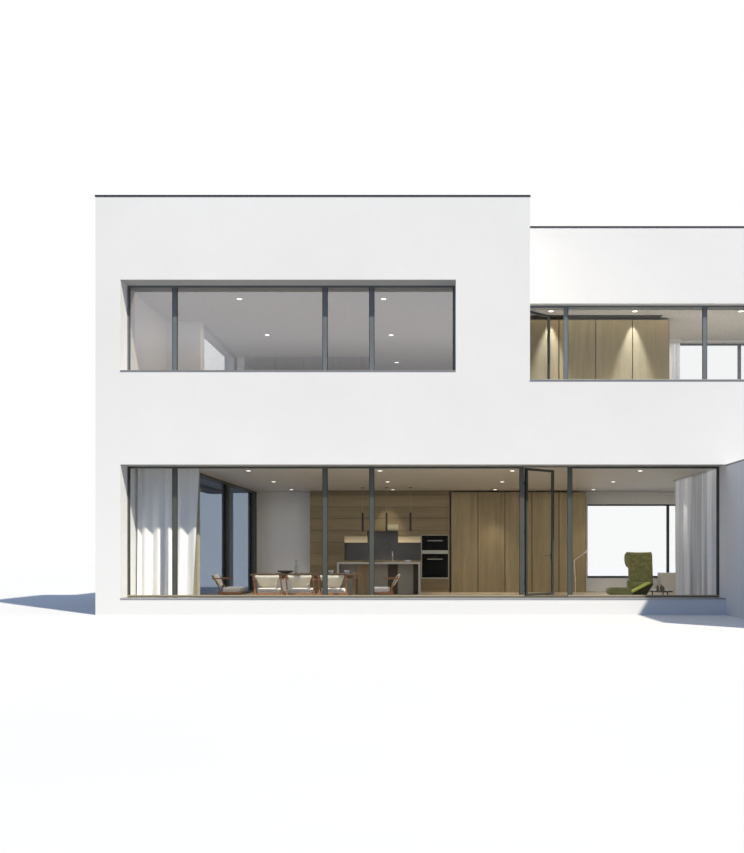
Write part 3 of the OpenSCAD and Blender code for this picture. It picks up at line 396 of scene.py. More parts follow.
def slab(name, board_tones, outside_of, ceiling):
    """Slab: painted ceiling below, boards on top, and grey tiles where outside_of(s) gives 1."""
    row, side = 0.18, 0.6
    s = Shader(name)
    fibre = s.noise(60.0, 5.0, 0.6, (0.06, 1.0, 1.0), 0.4)
    plank = s.math("DIVIDE", s.math("ADD", s.axis(1), 20.0), row)
    tone = s.math("ADD", s.product(fibre, 0.7), s.product(s.chance(plank), 0.3))
    boards = s.mix(s.spread(tone, 0.25, 0.8), *board_tones)
    boards = s.mix(s.math("LESS_THAN", s.math("PINGPONG", plank, 0.5), 0.012), boards, (0.14, 0.1, 0.06))
    tile = s.node("ShaderNodeTexBrick", {"offset": 0.0}, Vector=s.pos, Color1=(0.4, 0.4, 0.4),
                  Color2=(0.46, 0.46, 0.45), Mortar=(0.2, 0.2, 0.2), Scale=1.0, Mortar_Size=0.004,
                  Brick_Width=side, Row_Height=side)
    tiles = s.mix(s.product(s.patches(40.0, 4.0), 0.3), tile.outputs["Color"], (0.3, 0.3, 0.3))
    top = s.mix(outside_of(s), boards, tiles)
    cloud = s.mix(s.patches(1.2, 4.0), times(ceiling, 0.97), times(ceiling, 1.03))
    color = s.mix(s.math("GREATER_THAN", s.facing(2), 0.5), cloud, top)
    p = s.principled(Base_Color=color, Roughness=s.spread(fibre, 0.3, 0.7, 0.4, 0.6))
    s.put(p.inputs["Normal"], s.bump(fibre, 0.0006, 0.4))
    return s.mat


def storey_outside(s):
    """Balcony, rear terrace and side terrace."""
    ends = s.math("MAXIMUM", s.below(1, HOUSE_Y + 1.75), s.above(1, HOUSE_Y + 5.5))
    left = s.product(s.below(0, HOUSE_X + 1.1), s.above(1, HOUSE_Y + 3.2))
    return s.math("MAXIMUM", s.product(s.above(0, HOUSE_X + 8.04), ends), left)


def gallery_outside(s):
    """Covered gallery beside the ground floor rooms."""
    return s.product(s.below(0, HOUSE_X + 1.32), s.above(1, HOUSE_Y + 1.3))


PAINT = {
    "render": plaster(),
    "coping": mottled("coping_metal", (0.028, 0.029, 0.031), 0.12, 0.5, 2.0, 0.0002, 900.0, 0.0, 0.2),
    "drip_shaded_coping": coping_with_drip_shade(),
    "sill": sill_metal(),
    "frame": frame_metal("frame_metal", ((0.11, 0.13, 0.148), (0.13, 0.152, 0.174))),
    "leaf": frame_metal("leaf_metal", ((0.05, 0.058, 0.066), (0.064, 0.074, 0.084))),
    "gasket": mottled("black_gasket", (0.012, 0.012, 0.013), 0.2, 0.7, 8.0),
    "glass": window_glass("clear_glazing", (0.985, 0.988, 0.988), 1.13),
    "upper_glass": window_glass("upper_glazing", (0.965, 0.97, 0.97), 1.5, 3.6, (4.5, 5.25, 0.35, 1.0),
                                (0.8, 0.812, 0.865)),
    # Painted shade: the gallery panes are tinted dark blue, for the shaded wall beyond
    "gallery_glass": window_glass("gallery_glazing_shade_tint", (0.5, 0.555, 0.62), 1.13),
    "bottle_glass": window_glass("bottle_glass", (0.75, 0.8, 0.78), 1.5),
    "floor": slab("ground_floor_slab", ((0.535, 0.432, 0.294), (0.725, 0.63, 0.458)), gallery_outside,
                  (0.71, 0.705, 0.705)),
    "storey": slab("storey_slab", ((0.42, 0.31, 0.2), (0.62, 0.49, 0.34)), storey_outside, (0.63, 0.615, 0.6)),
    "roof": mottled("roof_gravel", (0.42, 0.42, 0.41), 0.2, 0.95, 30.0, 0.004, 60.0),
    "boards": wood("panel_boards", (0.3, 0.235, 0.13), (0.18, 0.135, 0.07), 0, 0.32, 2, 0.4),
    "veneer": wood("cupboard_veneer", (0.44, 0.36, 0.21), (0.26, 0.2, 0.105), 2, 0.733, 0, 0.42, 0.012, 0.473),
    "wardrobe": wood("wardrobe_veneer", (0.3, 0.24, 0.122), (0.19, 0.15, 0.07), 2, 0.782, 0, 0.42, 0.011, 0.369),
    "dark_veneer": wood("upper_cupboard_veneer", (0.12, 0.095, 0.055), (0.07, 0.055, 0.03), 2, 0.74, 0, 0.42, 0.011),
    "island": wood("island_veneer", (0.34, 0.28, 0.18), (0.2, 0.15, 0.09), 2, 0.5, 0, 0.4),
    "island_wood": wood("island_front_wood", (0.36, 0.28, 0.16), (0.22, 0.16, 0.09), 2),
    "island_grey": mottled("island_grey", (0.3, 0.29, 0.26), 0.06, 0.5, 3.0),
    "recess_shade": mottled("painted_shade_recess", (0.06, 0.05, 0.035), 0.15, 0.7, 3.0),
    "extractor": wood("extractor_wood", (0.46, 0.42, 0.3), (0.34, 0.3, 0.2), 0),
    "lit": lit_wood(),
    "tile": mottled("dark_splashback", (0.1, 0.1, 0.105), 0.1, 0.3, 3.0, 0.0002, 300.0),
    "oven": mottled("oven_front", (0.002, 0.002, 0.002), 0.15, 0.25, 2.0, spec=0.05),
    "stone": mottled("worktop_stone", (0.5, 0.5, 0.49), 0.05, 0.3, 4.0, 0.0002, 500.0),
    "steel": mottled("brushed_steel", (0.5, 0.51, 0.47), 0.06, 0.4, 6.0, 0.0002, 900.0, 0.15),
    "chrome": mottled("chrome", (0.8, 0.8, 0.8), 0.02, 0.15, 3.0, metallic=0.7),
    "pendant": pendant_metal(),
    "table": wood("table_top", (0.28, 0.19, 0.11), (0.16, 0.1, 0.055), 0, rough=0.35),
    "chair": wood("chair_frame", (0.36, 0.17, 0.08), (0.2, 0.085, 0.04), 2, rough=0.35),
    "pad": cloth("pad_cloth", (0.74, 0.73, 0.64)),
    "seat_pad": cloth("seat_cloth", (0.8, 0.8, 0.78)),
    "pad_seam": cloth("pad_seam_cloth", (0.6, 0.56, 0.46)),
    "lounge": cloth("lounge_cloth", (0.24, 0.245, 0.1), 0.3, 500.0),
    "lounge_pad": cloth("lounge_pad_cloth", (0.52, 0.62, 0.09), 0.12, 500.0),
    "lounge_shade": cloth("lounge_shell_shade_cloth", (0.03, 0.036, 0.014), 0.3, 500.0),
    "stool": cloth("stool_cloth", (0.25, 0.28, 0.13), 0.2, 500.0),
    "curtain": cloth("curtain_cloth", (0.965, 0.965, 0.955), 0.015, 700.0, 0.05),
    "sheer": cloth("sheer_cloth", (0.84, 0.89, 1.0), 0.03, 700.0, 0.35, 0.75),
    "shaded_lining": cloth("lining_cloth_painted_shade", (0.4, 0.37, 0.29), 0.05, 700.0, 0.1),
    "olive_ware": mottled("olive_ware", (0.13, 0.12, 0.07), 0.15, 0.4, 12.0),
    "black": mottled("black_metal", (0.025, 0.025, 0.027), 0.1, 0.4, 3.0),
    "white": mottled("white_metal", (0.88, 0.88, 0.87), 0.03, 0.4, 3.0),
    "sideboard": mottled("sideboard_paint", (0.78, 0.75, 0.69), 0.04, 0.5, 2.0),
    "spot": glow("spotlight_glow", (1.0, 0.95, 0.85), 3.0),
}

SLOT_PAINT = {
    "render": "render", "concrete": "floor", "membrane": "roof", "coping_metal": "coping", "sill_metal": "sill",
    "frame_metal": "frame", "glazing": "glass", "panel_wood": "boards", "shelf_wood": "lit", "dark_tile": "tile",
    "oven_metal": "oven", "worktop": "stone", "table_wood": "table", "chair_wood": "chair", "pad_fabric": "pad",
    "lounge_fabric": "lounge", "lamp_black": "black", "lamp_white": "white", "curtain_fabric": "curtain",
    "sideboard_paint": "sideboard",
}
NODE_PAINT = {
    "first_floor_slab": "storey", "parapet_coping": "drip_shaded_coping", "pendant_lamps": "pendant", "tall_cupboards": "veneer",
    "wardrobe": "wardrobe", "upper_cupboards": "dark_veneer", "upper_leaf": "leaf", "island_cabinet": "island",
    "gallery_glass": "gallery_glass", "upper_glass": "upper_glass",
}

for part in frame["record"]["subparts"]:
    slots = NODES[part["node"]].data.materials
    slots.clear()
    slots.append(PAINT[NODE_PAINT.get(part["node"], SLOT_PAINT[part["material_slot"]])])


# ------------ mesh helpers

def as_mesh(bm, name="part"):
    mesh = bpy.data.meshes.new(name)
    bm.to_mesh(mesh)
    bm.free()
    return mesh


def add(bm, part):
    """Moves all of one bmesh into another."""
    mesh = as_mesh(part)
    bm.from_mesh(mesh)
    bpy.data.meshes.remove(mesh)


def move(bm, matrix):
    bmesh.ops.transform(bm, matrix=matrix, verts=bm.verts[:])


def turned(degrees, axis):
    return Matrix.Rotation(math.radians(degrees), 4, axis)


def piece(name, bm, paint, body="root", smooth=False, replaces=()):
    mesh = as_mesh(bm, name)
    obj = linked(name, mesh)
    mesh.materials.append(PAINT[paint])
    if smooth:
        mesh.polygons.foreach_set("use_smooth", [True] * len(mesh.polygons))
    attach(obj, body)
    if replaces:
        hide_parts(*replaces)
    return obj


def placed(name, mesh, place, paint, replaces):
    """A smooth piece from a copy of a mesh."""
    bm = bmesh.new()
    bm.from_mesh(mesh)
    move(bm, place)
    return piece(name, bm, paint, smooth=True, replaces=replaces)


def skin(bm, rings, closed=False, caps=False):
    """Faces from each ring of vertices to the next; closed joins the last to the first, and caps fill both ends."""
    for one, two in list(zip(rings, rings[1:])) + [(rings[-1], rings[0])] * closed:
        for k in range(len(one)):
            j = (k + 1) % len(one)
            bm.faces.new((one[k], one[j], two[j], two[k]))
    if caps:
        bm.faces.new(rings[0][::-1])
        bm.faces.new(rings[-1])


def lathe(bm, centre, profile, steps=32):
    """A turned shape: profile is (radius, height) pairs from the outside foot round to the inside."""
    rings = []
    for r, h in profile:
        if r < 1e-6:
            rings.append([bm.verts.new(centre + Vector((0, 0, h)))])
        else:
            rings.append([bm.verts.new(centre + Vector((r * math.cos(a), r * math.sin(a), h)))
                          for a in (2 * math.pi * k / steps for k in range(steps))])
    for a, b in zip(rings, rings[1:]):
        for k in range(steps):
            j = (k + 1) % steps
            if len(a) == 1:
                bm.faces.new((a[0], b[k], b[j]))
            elif len(b) == 1:
                bm.faces.new((a[k], a[j], b[0]))
            else:
                bm.faces.new((a[k], a[j], b[j], b[k]))


def circle(bm, centre, one, other, radius, steps):
    """A ring of vertices in the plane of two directions."""
    return [bm.verts.new(centre + one * (radius * math.cos(a)) + other * (radius * math.sin(a)))
            for a in (2 * math.pi * k / steps for k in range(steps))]


def tube(bm, points, radius):
    """A closed round bar along points."""
    rings = []
    for k, p in enumerate(points):
        a, b = points[max(k - 1, 0)], points[min(k + 1, len(points) - 1)]
        ahead = (b - a).normalized()
        side = ahead.cross(X_AXIS)
        side = (side if side.length > 1e-3 else ahead.cross(Y_AXIS)).normalized()
        rings.append(circle(bm, p, side, ahead.cross(side), radius, 12))
    skin(bm, rings, caps=True)


def rounded_box(bm, lo, hi, r, segments=2):
    part = bmesh.new()
    bmesh.ops.create_cube(part, size=1.0)
    size = [b - a for a, b in zip(lo, hi)]
    for v in part.verts:
        v.co = Vector([a + s * (c + 0.5) for a, s, c in zip(lo, size, v.co)])
    if r:
        bmesh.ops.bevel(part, geom=part.edges[:], offset=r, segments=segments, affect="EDGES", profile=0.5)
    add(bm, part)


def box_piece(name, boxes, paint, r=0.002, replaces=()):
    """Rounded boxes given by house coordinates (x0, x1, y0, y1, z0, z1) in one piece."""
    bm = bmesh.new()
    for x0, x1, y0, y1, z0, z1 in boxes:
        rounded_box(bm, at(x0, y0, z0), at(x1, y1, z1), r)
    return piece(name, bm, paint, replaces=replaces)


def ware(name, places, profile, paint, steps=32):
    """Turned pieces of one profile that stand at several places."""
    bm = bmesh.new()
    for place in places:
        lathe(bm, at(*place), profile, steps)
    piece(name, bm, paint, smooth=True)


# ------------ curtains

def curtain(name, node, start, along, width, low, high, folds, depth, seed, paint="curtain", taper=0.0):
    """A hung curtain: deep folds at the foot that draw in to even pleats at the rail."""
    rng = random.Random(seed)
    across = Vector((-along.y, along.x, 0.0))
    columns, rows = folds * 18, 28
    drift = [rng.uniform(-0.35, 0.35) for _ in range(folds + 2)]
    swell = [rng.uniform(0.7, 1.0) for _ in range(folds + 2)]
    bm = bmesh.new()
    grid = []
    for j in range(rows + 1):
        v = j / rows
        z = high + (low - high) * v
        row = []
        for i in range(columns + 1):
            u = i / columns
            k = u * folds
            cell = min(int(k), folds - 1)
            t = k - cell
            ease = t * t * (3 - 2 * t)
            phase = drift[cell] * (1 - ease) + drift[cell + 1] * ease
            size = swell[cell] * (1 - ease) + swell[cell + 1] * ease
            turn = 2 * math.pi * (k + phase * (0.3 + 0.7 * v))
            wave = math.sin(turn) + 0.15 * math.sin(turn) ** 3
            wave += 0.18 * v * math.sin(4 * math.pi * (k + phase) + 1.3)
            reach = depth * size * (0.6 + 0.4 * min(1.0, v * 1.6))
            lean = 0.18 * reach * math.cos(turn)
            p = start + along * (width * u * (1.0 - taper * v) + lean) + across * (reach * wave * 0.4)
            row.append(bm.verts.new((p.x, p.y, z)))
        grid.append(row)
    for a, b in zip(grid, grid[1:]):
        for i in range(columns):
            bm.faces.new((a[i], a[i + 1], b[i + 1], b[i]))
    obj = piece(name, bm, paint, smooth=True, replaces=(node,))


def hang_curtains():
    """Each cloth hangs in its node's box; only a strip of the upper one shows, and behind the left one's edge hangs a
    narrow dark strip, painted shade.
    """
    margin = 0.01
    for name, node, along, folds, depth, seed, paint, taper in (
            ("left_curtain_cloth", "left_curtain", X_AXIS, 5, 0.13, 3, "curtain", 0.09),
            ("right_curtain_cloth", "right_curtain", Y_AXIS, 11, 0.16, 5, "sheer", 0.0),
            ("upper_curtain_cloth", "upper_curtain", X_AXIS, 2, 0.09, 8, "sheer", 0.0)):
        lo, hi = (Vector(c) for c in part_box(node))
        mid = (lo + hi) / 2
        if along == Y_AXIS:
            start, width = Vector((mid.x, lo.y + margin, 0)), hi.y - lo.y - 2 * margin
        else:
            start, width = Vector((lo.x + margin, mid.y, 0)), hi.x - lo.x - 2 * margin
        if name == "upper_curtain_cloth":
            start.x, width, hi.z = lo.x + 0.04, 0.17, 6.05
        curtain(name, node, start, along, width, lo.z, hi.z, folds, depth, seed, paint, taper)
    # Painted shade: a narrow dark cloth behind the left curtain's edge
    lo, hi = (Vector(c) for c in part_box("left_curtain"))
    start = Vector((hi.x - 0.165, (lo.y + hi.y) / 2 + 0.045, 0))
    curtain("left_curtain_shaded_back", "left_curtain", start, X_AXIS, 0.16, lo.z, hi.z, 1, 0.03, 11, "shaded_lining")


hang_curtains()


# ------------ padded shapes

def outline_block(outline, depth, inset):
    """Closed block over an outline in x and z, drawn in a little on every side; depth runs along y."""
    bm = bmesh.new()
    cx = sum(x for x, _ in outline) / len(outline)
    cz = sum(z for _, z in outline) / len(outline)
    rings = []
    for y in (inset, depth - inset):
        ring = []
        for x, z in outline:
            d = math.hypot(x - cx, z - cz)
            k = (d - inset) / d
            ring.append(bm.verts.new((cx + (x - cx) * k, y, cz + (z - cz) * k)))
        rings.append(ring)
    skin(bm, rings, caps=True)
    bmesh.ops.recalc_face_normals(bm, faces=bm.faces[:])
    return as_mesh(bm, "block")


def swollen(mesh, voxel, reach):
    """The block's cover blown up by a cloth simulation, each point held within reach of where it began."""
    frames, pressure = 20, 4.0
    scene = bpy.context.scene
    obj = linked("swell", mesh)
    remesh = obj.modifiers.new("remesh", "REMESH")
    remesh.mode = "VOXEL"
    remesh.voxel_size = voxel

    def evaluated():
        return bpy.data.meshes.new_from_object(obj.evaluated_get(bpy.context.evaluated_depsgraph_get()))

    fine = evaluated()
    obj.modifiers.clear()
    obj.data = fine
    start = [v.co.copy() for v in fine.vertices]
    setting = obj.modifiers.new("cloth", "CLOTH").settings
    setting.quality = 4
    setting.mass = 0.3
    setting.tension_stiffness = setting.compression_stiffness = 12.0
    setting.bending_stiffness = 0.4
    setting.use_pressure = True
    setting.uniform_pressure_force = pressure
    setting.effector_weights.gravity = 0.0
    for frame_no in range(1, frames + 1):
        scene.frame_set(frame_no)
    blown = evaluated()
    obj.modifiers.clear()
    for v, moved, was in zip(fine.vertices, blown.vertices, start):
        step = moved.co - was
        if step.length > reach:
            step *= reach / step.length
        v.co = was + step
    scene.frame_set(1)
    bpy.data.meshes.remove(blown)
    bpy.data.objects.remove(obj)
    return fine


def seam_ring(mesh, mid, radius):
    """Cord round a cushion's widest line: a closed tube through its outermost points in the plane y = mid."""
    steps = 120
    best = [(0.0, None)] * steps
    cx = sum(v.co.x for v in mesh.vertices) / len(mesh.vertices)
    cz = sum(v.co.z for v in mesh.vertices) / len(mesh.vertices)
    for v in mesh.vertices:
        if abs(v.co.y - mid) > 0.02:
            continue
        x, z = v.co.x - cx, v.co.z - cz
        k = int((math.atan2(z, x) / (2 * math.pi) + 0.5) * steps) % steps
        r = math.hypot(x, z)
        if r > best[k][0]:
            best[k] = (r, Vector((v.co.x, mid, v.co.z)))
    points = [p for _, p in best if p is not None]
    bm = bmesh.new()
    rings = []
    for k, p in enumerate(points):
        ahead = (points[(k + 1) % len(points)] - points[k - 1]).normalized()
        rings.append(circle(bm, p, ahead.cross(Y_AXIS).normalized(), Y_AXIS, radius, 6))
    skin(bm, rings, closed=True)
    bmesh.ops.recalc_face_normals(bm, faces=bm.faces[:])
    return as_mesh(bm, "seam")


def rounded_outline(x0, x1, y0, y1, r):
    """A rectangle in plan with rounded corners."""
    corners = ((x1 - r, y0 + r, -90), (x1 - r, y1 - r, 0), (x0 + r, y1 - r, 90), (x0 + r, y0 + r, 180))
    return [(cx + r * math.cos(math.radians(a + 18 * k)), cy + r * math.sin(math.radians(a + 18 * k)))
            for cx, cy, a in corners for k in range(6)]


def laid_flat(top):
    """Turns a block whose outline is a plan so that it lies flat, with its upper face at top."""
    return Matrix(((1, 0, 0, 0), (0, 0, 1, 0), (0, -1, 0, top), (0, 0, 0, 1)))


# ------------ chair pads

TABLE_X, TABLE_Y, TABLE_W, TABLE_D, TABLE_TOP = 2.543, 1.7, 2.18, 0.9, 0.721
END_CHAIR_OUT = 0.86
CHAIRS = [(TABLE_X + 0.421 + k * 0.64, 1.18, 0.0) for k in range(3)] + [
    (TABLE_X - END_CHAIR_OUT, TABLE_Y + TABLE_D / 2, -90.0),
    (TABLE_X + TABLE_W + END_CHAIR_OUT, TABLE_Y + TABLE_D / 2, 90.0)]
PAD_HALF = 0.2517


def back_outline():
    """Back pad outline, as in the part: straight top, sides that draw in to a rounded foot."""
    w, r, high = PAD_HALF, 0.11, 0.285
    foot = [(w - 0.05 - r + r * math.sin(math.pi * k / 16), r - r * math.cos(math.pi * k / 16)) for k in range(9)]
    half = foot + [(w, high - 0.035), (w - 0.004, high - 0.008), (w - 0.014, high)]
    return half + [(-x, z) for x, z in reversed(half)]


def chair_cushions():
    """One simulated seat pad and one back pad, each set on all five chairs with its seam cord."""
    back_t, seat_t, cord_r = 0.045, 0.09, 0.004
    back_mesh = swollen(outline_block(back_outline(), back_t, 0.006), 0.008, 0.01)
    seat_plan = rounded_outline(-PAD_HALF, PAD_HALF, 0.233, 0.636, 0.035)
    seat_mesh = swollen(outline_block(seat_plan, seat_t, 0.008), 0.01, 0.014)
    back_seam = seam_ring(back_mesh, back_t / 2, cord_r)
    seat_seam = seam_ring(seat_mesh, seat_t / 2, cord_r)
    for k, (x, y, turn) in enumerate(CHAIRS):
        base = Matrix.Translation(at(x, y, FLOOR)) @ turned(turn, "Z")
        back = base @ Matrix.Translation((0, 0.165, 0.372)) @ turned(31, "X")
        seat = base @ laid_flat(0.36)
        for name, mesh, seam, place, paint in ((f"back_pad_{k}", back_mesh, back_seam, back, "pad"),
                                               (f"seat_pad_{k}", seat_mesh, seat_seam, seat, "seat_pad")):
            obj = placed(name, mesh, place, paint, ("chair_pads",))
            placed(name + "_seam", seam, place, "pad_seam", ("chair_pads",))


chair_cushions()


# ------------ lounge chair

def back_point(u, v, behind):
    """A point of the lounge back's front or rear skin; u runs across it, v up. Its left side has a wing."""
    wing_mid, wing_half = 0.78, 0.24
    half = 0.298 - 0.2 * max(0.0, v - 0.9)
    turn = math.pi * (u - 0.5) * 1.05
    wing = max(0.0, 1.0 - u / 0.3) * math.sqrt(max(0.0, 1.0 - ((v - wing_mid) / wing_half) ** 2))
    rim = min(1.0, min(u, 1 - u) * 14, min(v, 1 - v) * 18)
    thick = 0.028 + 0.035 * math.sqrt(max(0.0, rim))
    tuft = 0.006 * math.cos(u * math.pi * 6) * math.cos(v * math.pi * 8) * rim
    x = 0.383 + half * math.sin(turn) - 0.13 * wing
    y = 0.09 * math.cos(turn) - 0.16 * wing * wing
    return x, y + (thick if behind else -thick - tuft), 0.85 * v


def lounge_back(origin):
    """High back: a padded shell bent round the sitter."""
    bm = bmesh.new()
    cols, rows = 40, 30
    layers = [[[bm.verts.new(back_point(i / cols, j / rows, behind)) for i in range(cols + 1)]
               for j in range(rows + 1)] for behind in (False, True)]
    for k, grid in enumerate(layers):
        for j in range(rows):
            for i in range(cols):
                quad = (grid[j][i], grid[j][i + 1], grid[j + 1][i + 1], grid[j + 1][i])
                bm.faces.new(quad[::-1] if k else quad)
    rim = [(0, i) for i in range(cols)] + [(j, cols) for j in range(rows)] + [
        (rows, i) for i in range(cols, 0, -1)] + [(j, 0) for j in range(rows, 0, -1)]
    for (j0, i0), (j1, i1) in zip(rim, rim[1:] + rim[:1]):
        bm.faces.new((layers[1][j0][i0], layers[1][j1][i1], layers[0][j1][i1], layers[0][j0][i0]))
    bmesh.ops.recalc_face_normals(bm, faces=bm.faces[:])
    move(bm, origin @ Matrix.Translation((0.515, 0.72, 0.25)) @ turned(-8, "X"))
    obj = piece("lounge_back", bm, "lounge", smooth=True, replaces=("lounge_chair",))


def lounge_seat(origin):
    """A slanted shell in near-black cloth, painted shade of the chair's underside; the upholstered base with its arm
    behind it, and the cushion along the slanted top.
    """
    outline = [(0.47, 0.0), (0.875, 0.0), (1.035, 0.25), (1.06, 0.31), (1.035, 0.325), (1.0, 0.315), (0.55, 0.07),
               (0.46, 0.03)]
    bm = bmesh.new()
    skin(bm, [[bm.verts.new((x, y, z)) for x, z in outline] for y in (0.04, 0.48)], caps=True)
    bmesh.ops.recalc_face_normals(bm, faces=bm.faces[:])
    bmesh.ops.bevel(bm, geom=bm.edges[:], offset=0.012, segments=3, affect="EDGES", profile=0.5, clamp_overlap=True)
    move(bm, origin)
    # Painted shade: the near-black shell stands for the chair's shaded underside
    obj = piece("lounge_shell", bm, "lounge_shade", smooth=True, replaces=("lounge_chair",))

    bm = bmesh.new()
    for lo, hi, r in (((0.56, 0.5, 0.005), (0.96, 0.79, 0.31), 0.045), ((0.54, 0.49, 0.1), (0.62, 0.74, 0.38), 0.035),
                      ((0.6, 0.56, 0.24), (1.08, 0.78, 0.33), 0.04)):
        rounded_box(bm, lo, hi, r, 4)
    move(bm, origin)
    obj = piece("lounge_base", bm, "lounge", smooth=True, replaces=("lounge_chair",))

    thick = 0.04
    cover = swollen(outline_block(rounded_outline(0.0, 0.545, 0.0, 0.435, 0.04), thick, 0.005), 0.007, 0.008)
    slant = Matrix.Rotation(-math.atan2(0.26, 0.49), 4, "Y")
    place = origin @ Matrix.Translation((0.535, 0.042, 0.066)) @ slant @ laid_flat(thick)
    obj = placed("lounge_cushion", cover, place, "lounge_pad", ("lounge_chair",))
    seam = seam_ring(cover, thick / 2, 0.004)
    placed("lounge_cushion_seam", seam, place, "lounge", ("lounge_chair",))


def footstool():
    """A boat-shaped pad with a cord round each rim, on a small plinth."""
    place = Matrix.Translation(at(10.44, 5.46, FLOOR))
    depth, rim = 0.44, 0.022
    outline = [(0.2, 0.012), (0.4, 0.01), (0.55, 0.012), (0.57, 0.05), (0.57, 0.19), (0.54, 0.222), (0.3, 0.226),
               (0.05, 0.22), (0.012, 0.195), (0.0, 0.115), (0.02, 0.085)]
    cover = swollen(outline_block(outline, depth, 0.008), 0.012, 0.014)
    obj = placed("footstool_pad", cover, place, "stool", ("footstool",))
    for k, y in enumerate((rim, depth - rim)):
        seam = seam_ring(cover, y, 0.005)
        placed(f"footstool_seam_{k}", seam, place, "lounge", ("footstool",))
    bm = bmesh.new()
    rounded_box(bm, (0.22, 0.06, 0.0), (0.53, 0.38, 0.05), 0.012)
    move(bm, place)
    piece("footstool_plinth", bm, "black", replaces=("footstool",))


def lounge_set():
    origin = Matrix.Translation(at(10.56, 5.9, FLOOR))
    lounge_back(origin)
    lounge_seat(origin)
    footstool()


lounge_set()


# ------------ small things

WARDROBE_SPOTS = [(x, 2.15, UPPER_CEILING) for x in (8.677, 10.413)]
SPOTS = [(x, y, GROUND_CEILING) for x in (2.451, 5.152, 7.868, 10.49) for y in (2.0, 5.14, 8.02)]
SPOTS += [(x, y, UPPER_CEILING) for x in (2.43, 5.27) for y in (1.165, 4.38)] + [(5.265, 7.65, UPPER_CEILING)]
SPOTS += WARDROBE_SPOTS + [(12.604, 2.15, UPPER_CEILING)]


def ceiling_spots():
    """Ceiling spotlights: a thin ring with a glowing lens that stands a little proud of the ceiling."""
    ring = [(0.062, -0.0005), (0.064, -0.006), (0.057, -0.009), (0.052, -0.004), (0.052, -0.0005)]
    lens = [(0.05, -0.001), (0.05, -0.006), (0.04, -0.011), (0.02, -0.013), (0.0, -0.014)]
    ware("spot_rings", SPOTS, ring, "white", 24)
    ware("spot_lenses", SPOTS, lens, "spot", 24)


def gaskets():
    """Black glazing gaskets at both sides of every fixed pane of the garden front."""
    strips = []
    for x0, x1, (low, high), posts, y in (
            (LEFT_JAMB, M4, GROUND_ROW, (M1, M2, M3), FRONT_GLASS), (M5, GROUND_RIGHT, GROUND_ROW, (), FRONT_GLASS),
            (LEFT_JAMB, UPPER_RIGHT, UPPER_ROW, (M1, M2, M3), FRONT_GLASS),
            (S1, SET_BACK_RIGHT, SET_BACK_ROW, (S2, S3), SET_BACK_GLASS)):
        starts = [x0 + (MULLION / 2 if x0 == S1 else FRAME)] + [m + MULLION / 2 for m in posts]
        ends = [m - MULLION / 2 for m in posts] + [x1 - FRAME]
        for a, b in zip(starts, ends):
            strips += [(*side, y + 0.004, y + 0.021, low + FRAME, high - FRAME)
                       for side in ((a, a + GASKET), (b - GASKET, b))]
    box_piece("glazing_gaskets", strips, "gasket", 0.0)


def kitchen_wall_details():
    """Open lit shelf boxes, extractor, and the ovens' trim and handles."""
    box_piece("lit_shelf_boxes", [(x, x + 0.618, 8.58, 8.89, 1.432, 1.614) for x in (3.807, 5.266)], "lit",
              0.006, ("shelf_boxes",))
    box_piece("extractor", [(4.974, 5.273, 8.535, 8.562, 1.76, 1.921)], "extractor", 0.004)
    # Painted shade: the extractor's slot is a near-black strip
    box_piece("extractor_slot", [(4.974, 5.273, 8.53, 8.56, 1.79, 1.798)], "recess_shade", 0.001)

    x0, x1 = 5.914, 6.625
    rails = [(x0 - 0.012, x1 + 0.012, low, high) for low, high in ((1.126, 1.22), (0.452, 0.478), (1.624, 1.64))]
    stiles = [(x0 - 0.014, x0, 0.45, 1.64), (x1, x1 + 0.014, 0.45, 1.64)]
    trim = [(a, b, 8.543, 8.562, low, high) for a, b, low, high in rails + stiles]
    box_piece("oven_trim", trim, "steel", 0.002)
    handles = bmesh.new()
    for z in (0.979, 1.479):
        bar = bmesh.new()
        bmesh.ops.create_cone(bar, segments=24, radius1=0.0115, radius2=0.0115, depth=0.43, cap_ends=True)
        ends = [e for e in bar.edges if e.calc_face_angle(0.0) > 1.0]
        bmesh.ops.bevel(bar, geom=ends, offset=0.003, segments=2, affect="EDGES")
        move(bar, Matrix.Translation(at((x0 + x1) / 2, 8.51, z)) @ turned(90, "Y"))
        add(handles, bar)
    piece("oven_handles", handles, "steel", smooth=True)


def island_details():
    """Fronts between the island's end panels, tap, sink rim, hob and a bowl."""
    front, back, foot, head, top = 6.932, 6.951, 0.1, 0.855, 0.914
    box_piece("island_grey_fronts", [(a, b, front, back, foot, head)
                                     for a, b in ((3.85, 4.262), (4.612, 5.066), (5.324, 5.716))],
              "island_grey", 0.003)
    box_piece("island_wood_fronts", [(4.27, 4.604, front, back, foot, head)], "island_wood", 0.003)
    # Painted shade: near-black panels in the gaps between the fronts
    box_piece("island_recesses", [(a, b, front + 0.008, back, foot, head) for a, b in ((5.07, 5.32), (5.72, 5.84))],
              "recess_shade", 0.002)
    tap = bmesh.new()
    base = at(5.18, 7.2, top + 0.001)
    lathe(tap, base, [(0.0, 0.0), (0.03, 0.0), (0.03, 0.006), (0.014, 0.012), (0.013, 0.2), (0.0, 0.2)], 20)
    bend = [Vector((0, -0.07 + 0.07 * math.cos(a), 0.2 + 0.07 * math.sin(a)))
            for a in (math.pi * k / 10 for k in range(11))]
    tube(tap, [base + p for p in [Vector((0, 0, 0.2))] + bend + [Vector((0, -0.14, 0.15))]], 0.012)
    piece("tap", tap, "chrome", smooth=True)
    box_piece("sink_rim", [(4.98, 5.38, 6.96, 7.34, top, top + 0.004)], "steel", 0.001)
    box_piece("hob", [(4.42, 4.94, 6.98, 7.4, top, top + 0.007)], "oven")
    ware("island_bowl", [(5.58, 7.0, top + 0.0015)],
         [(0.0, 0.0), (0.04, 0.0), (0.075, 0.03), (0.085, 0.05), (0.08, 0.05), (0.068, 0.03), (0.03, 0.006),
          (0.0, 0.006)], "white", 28)


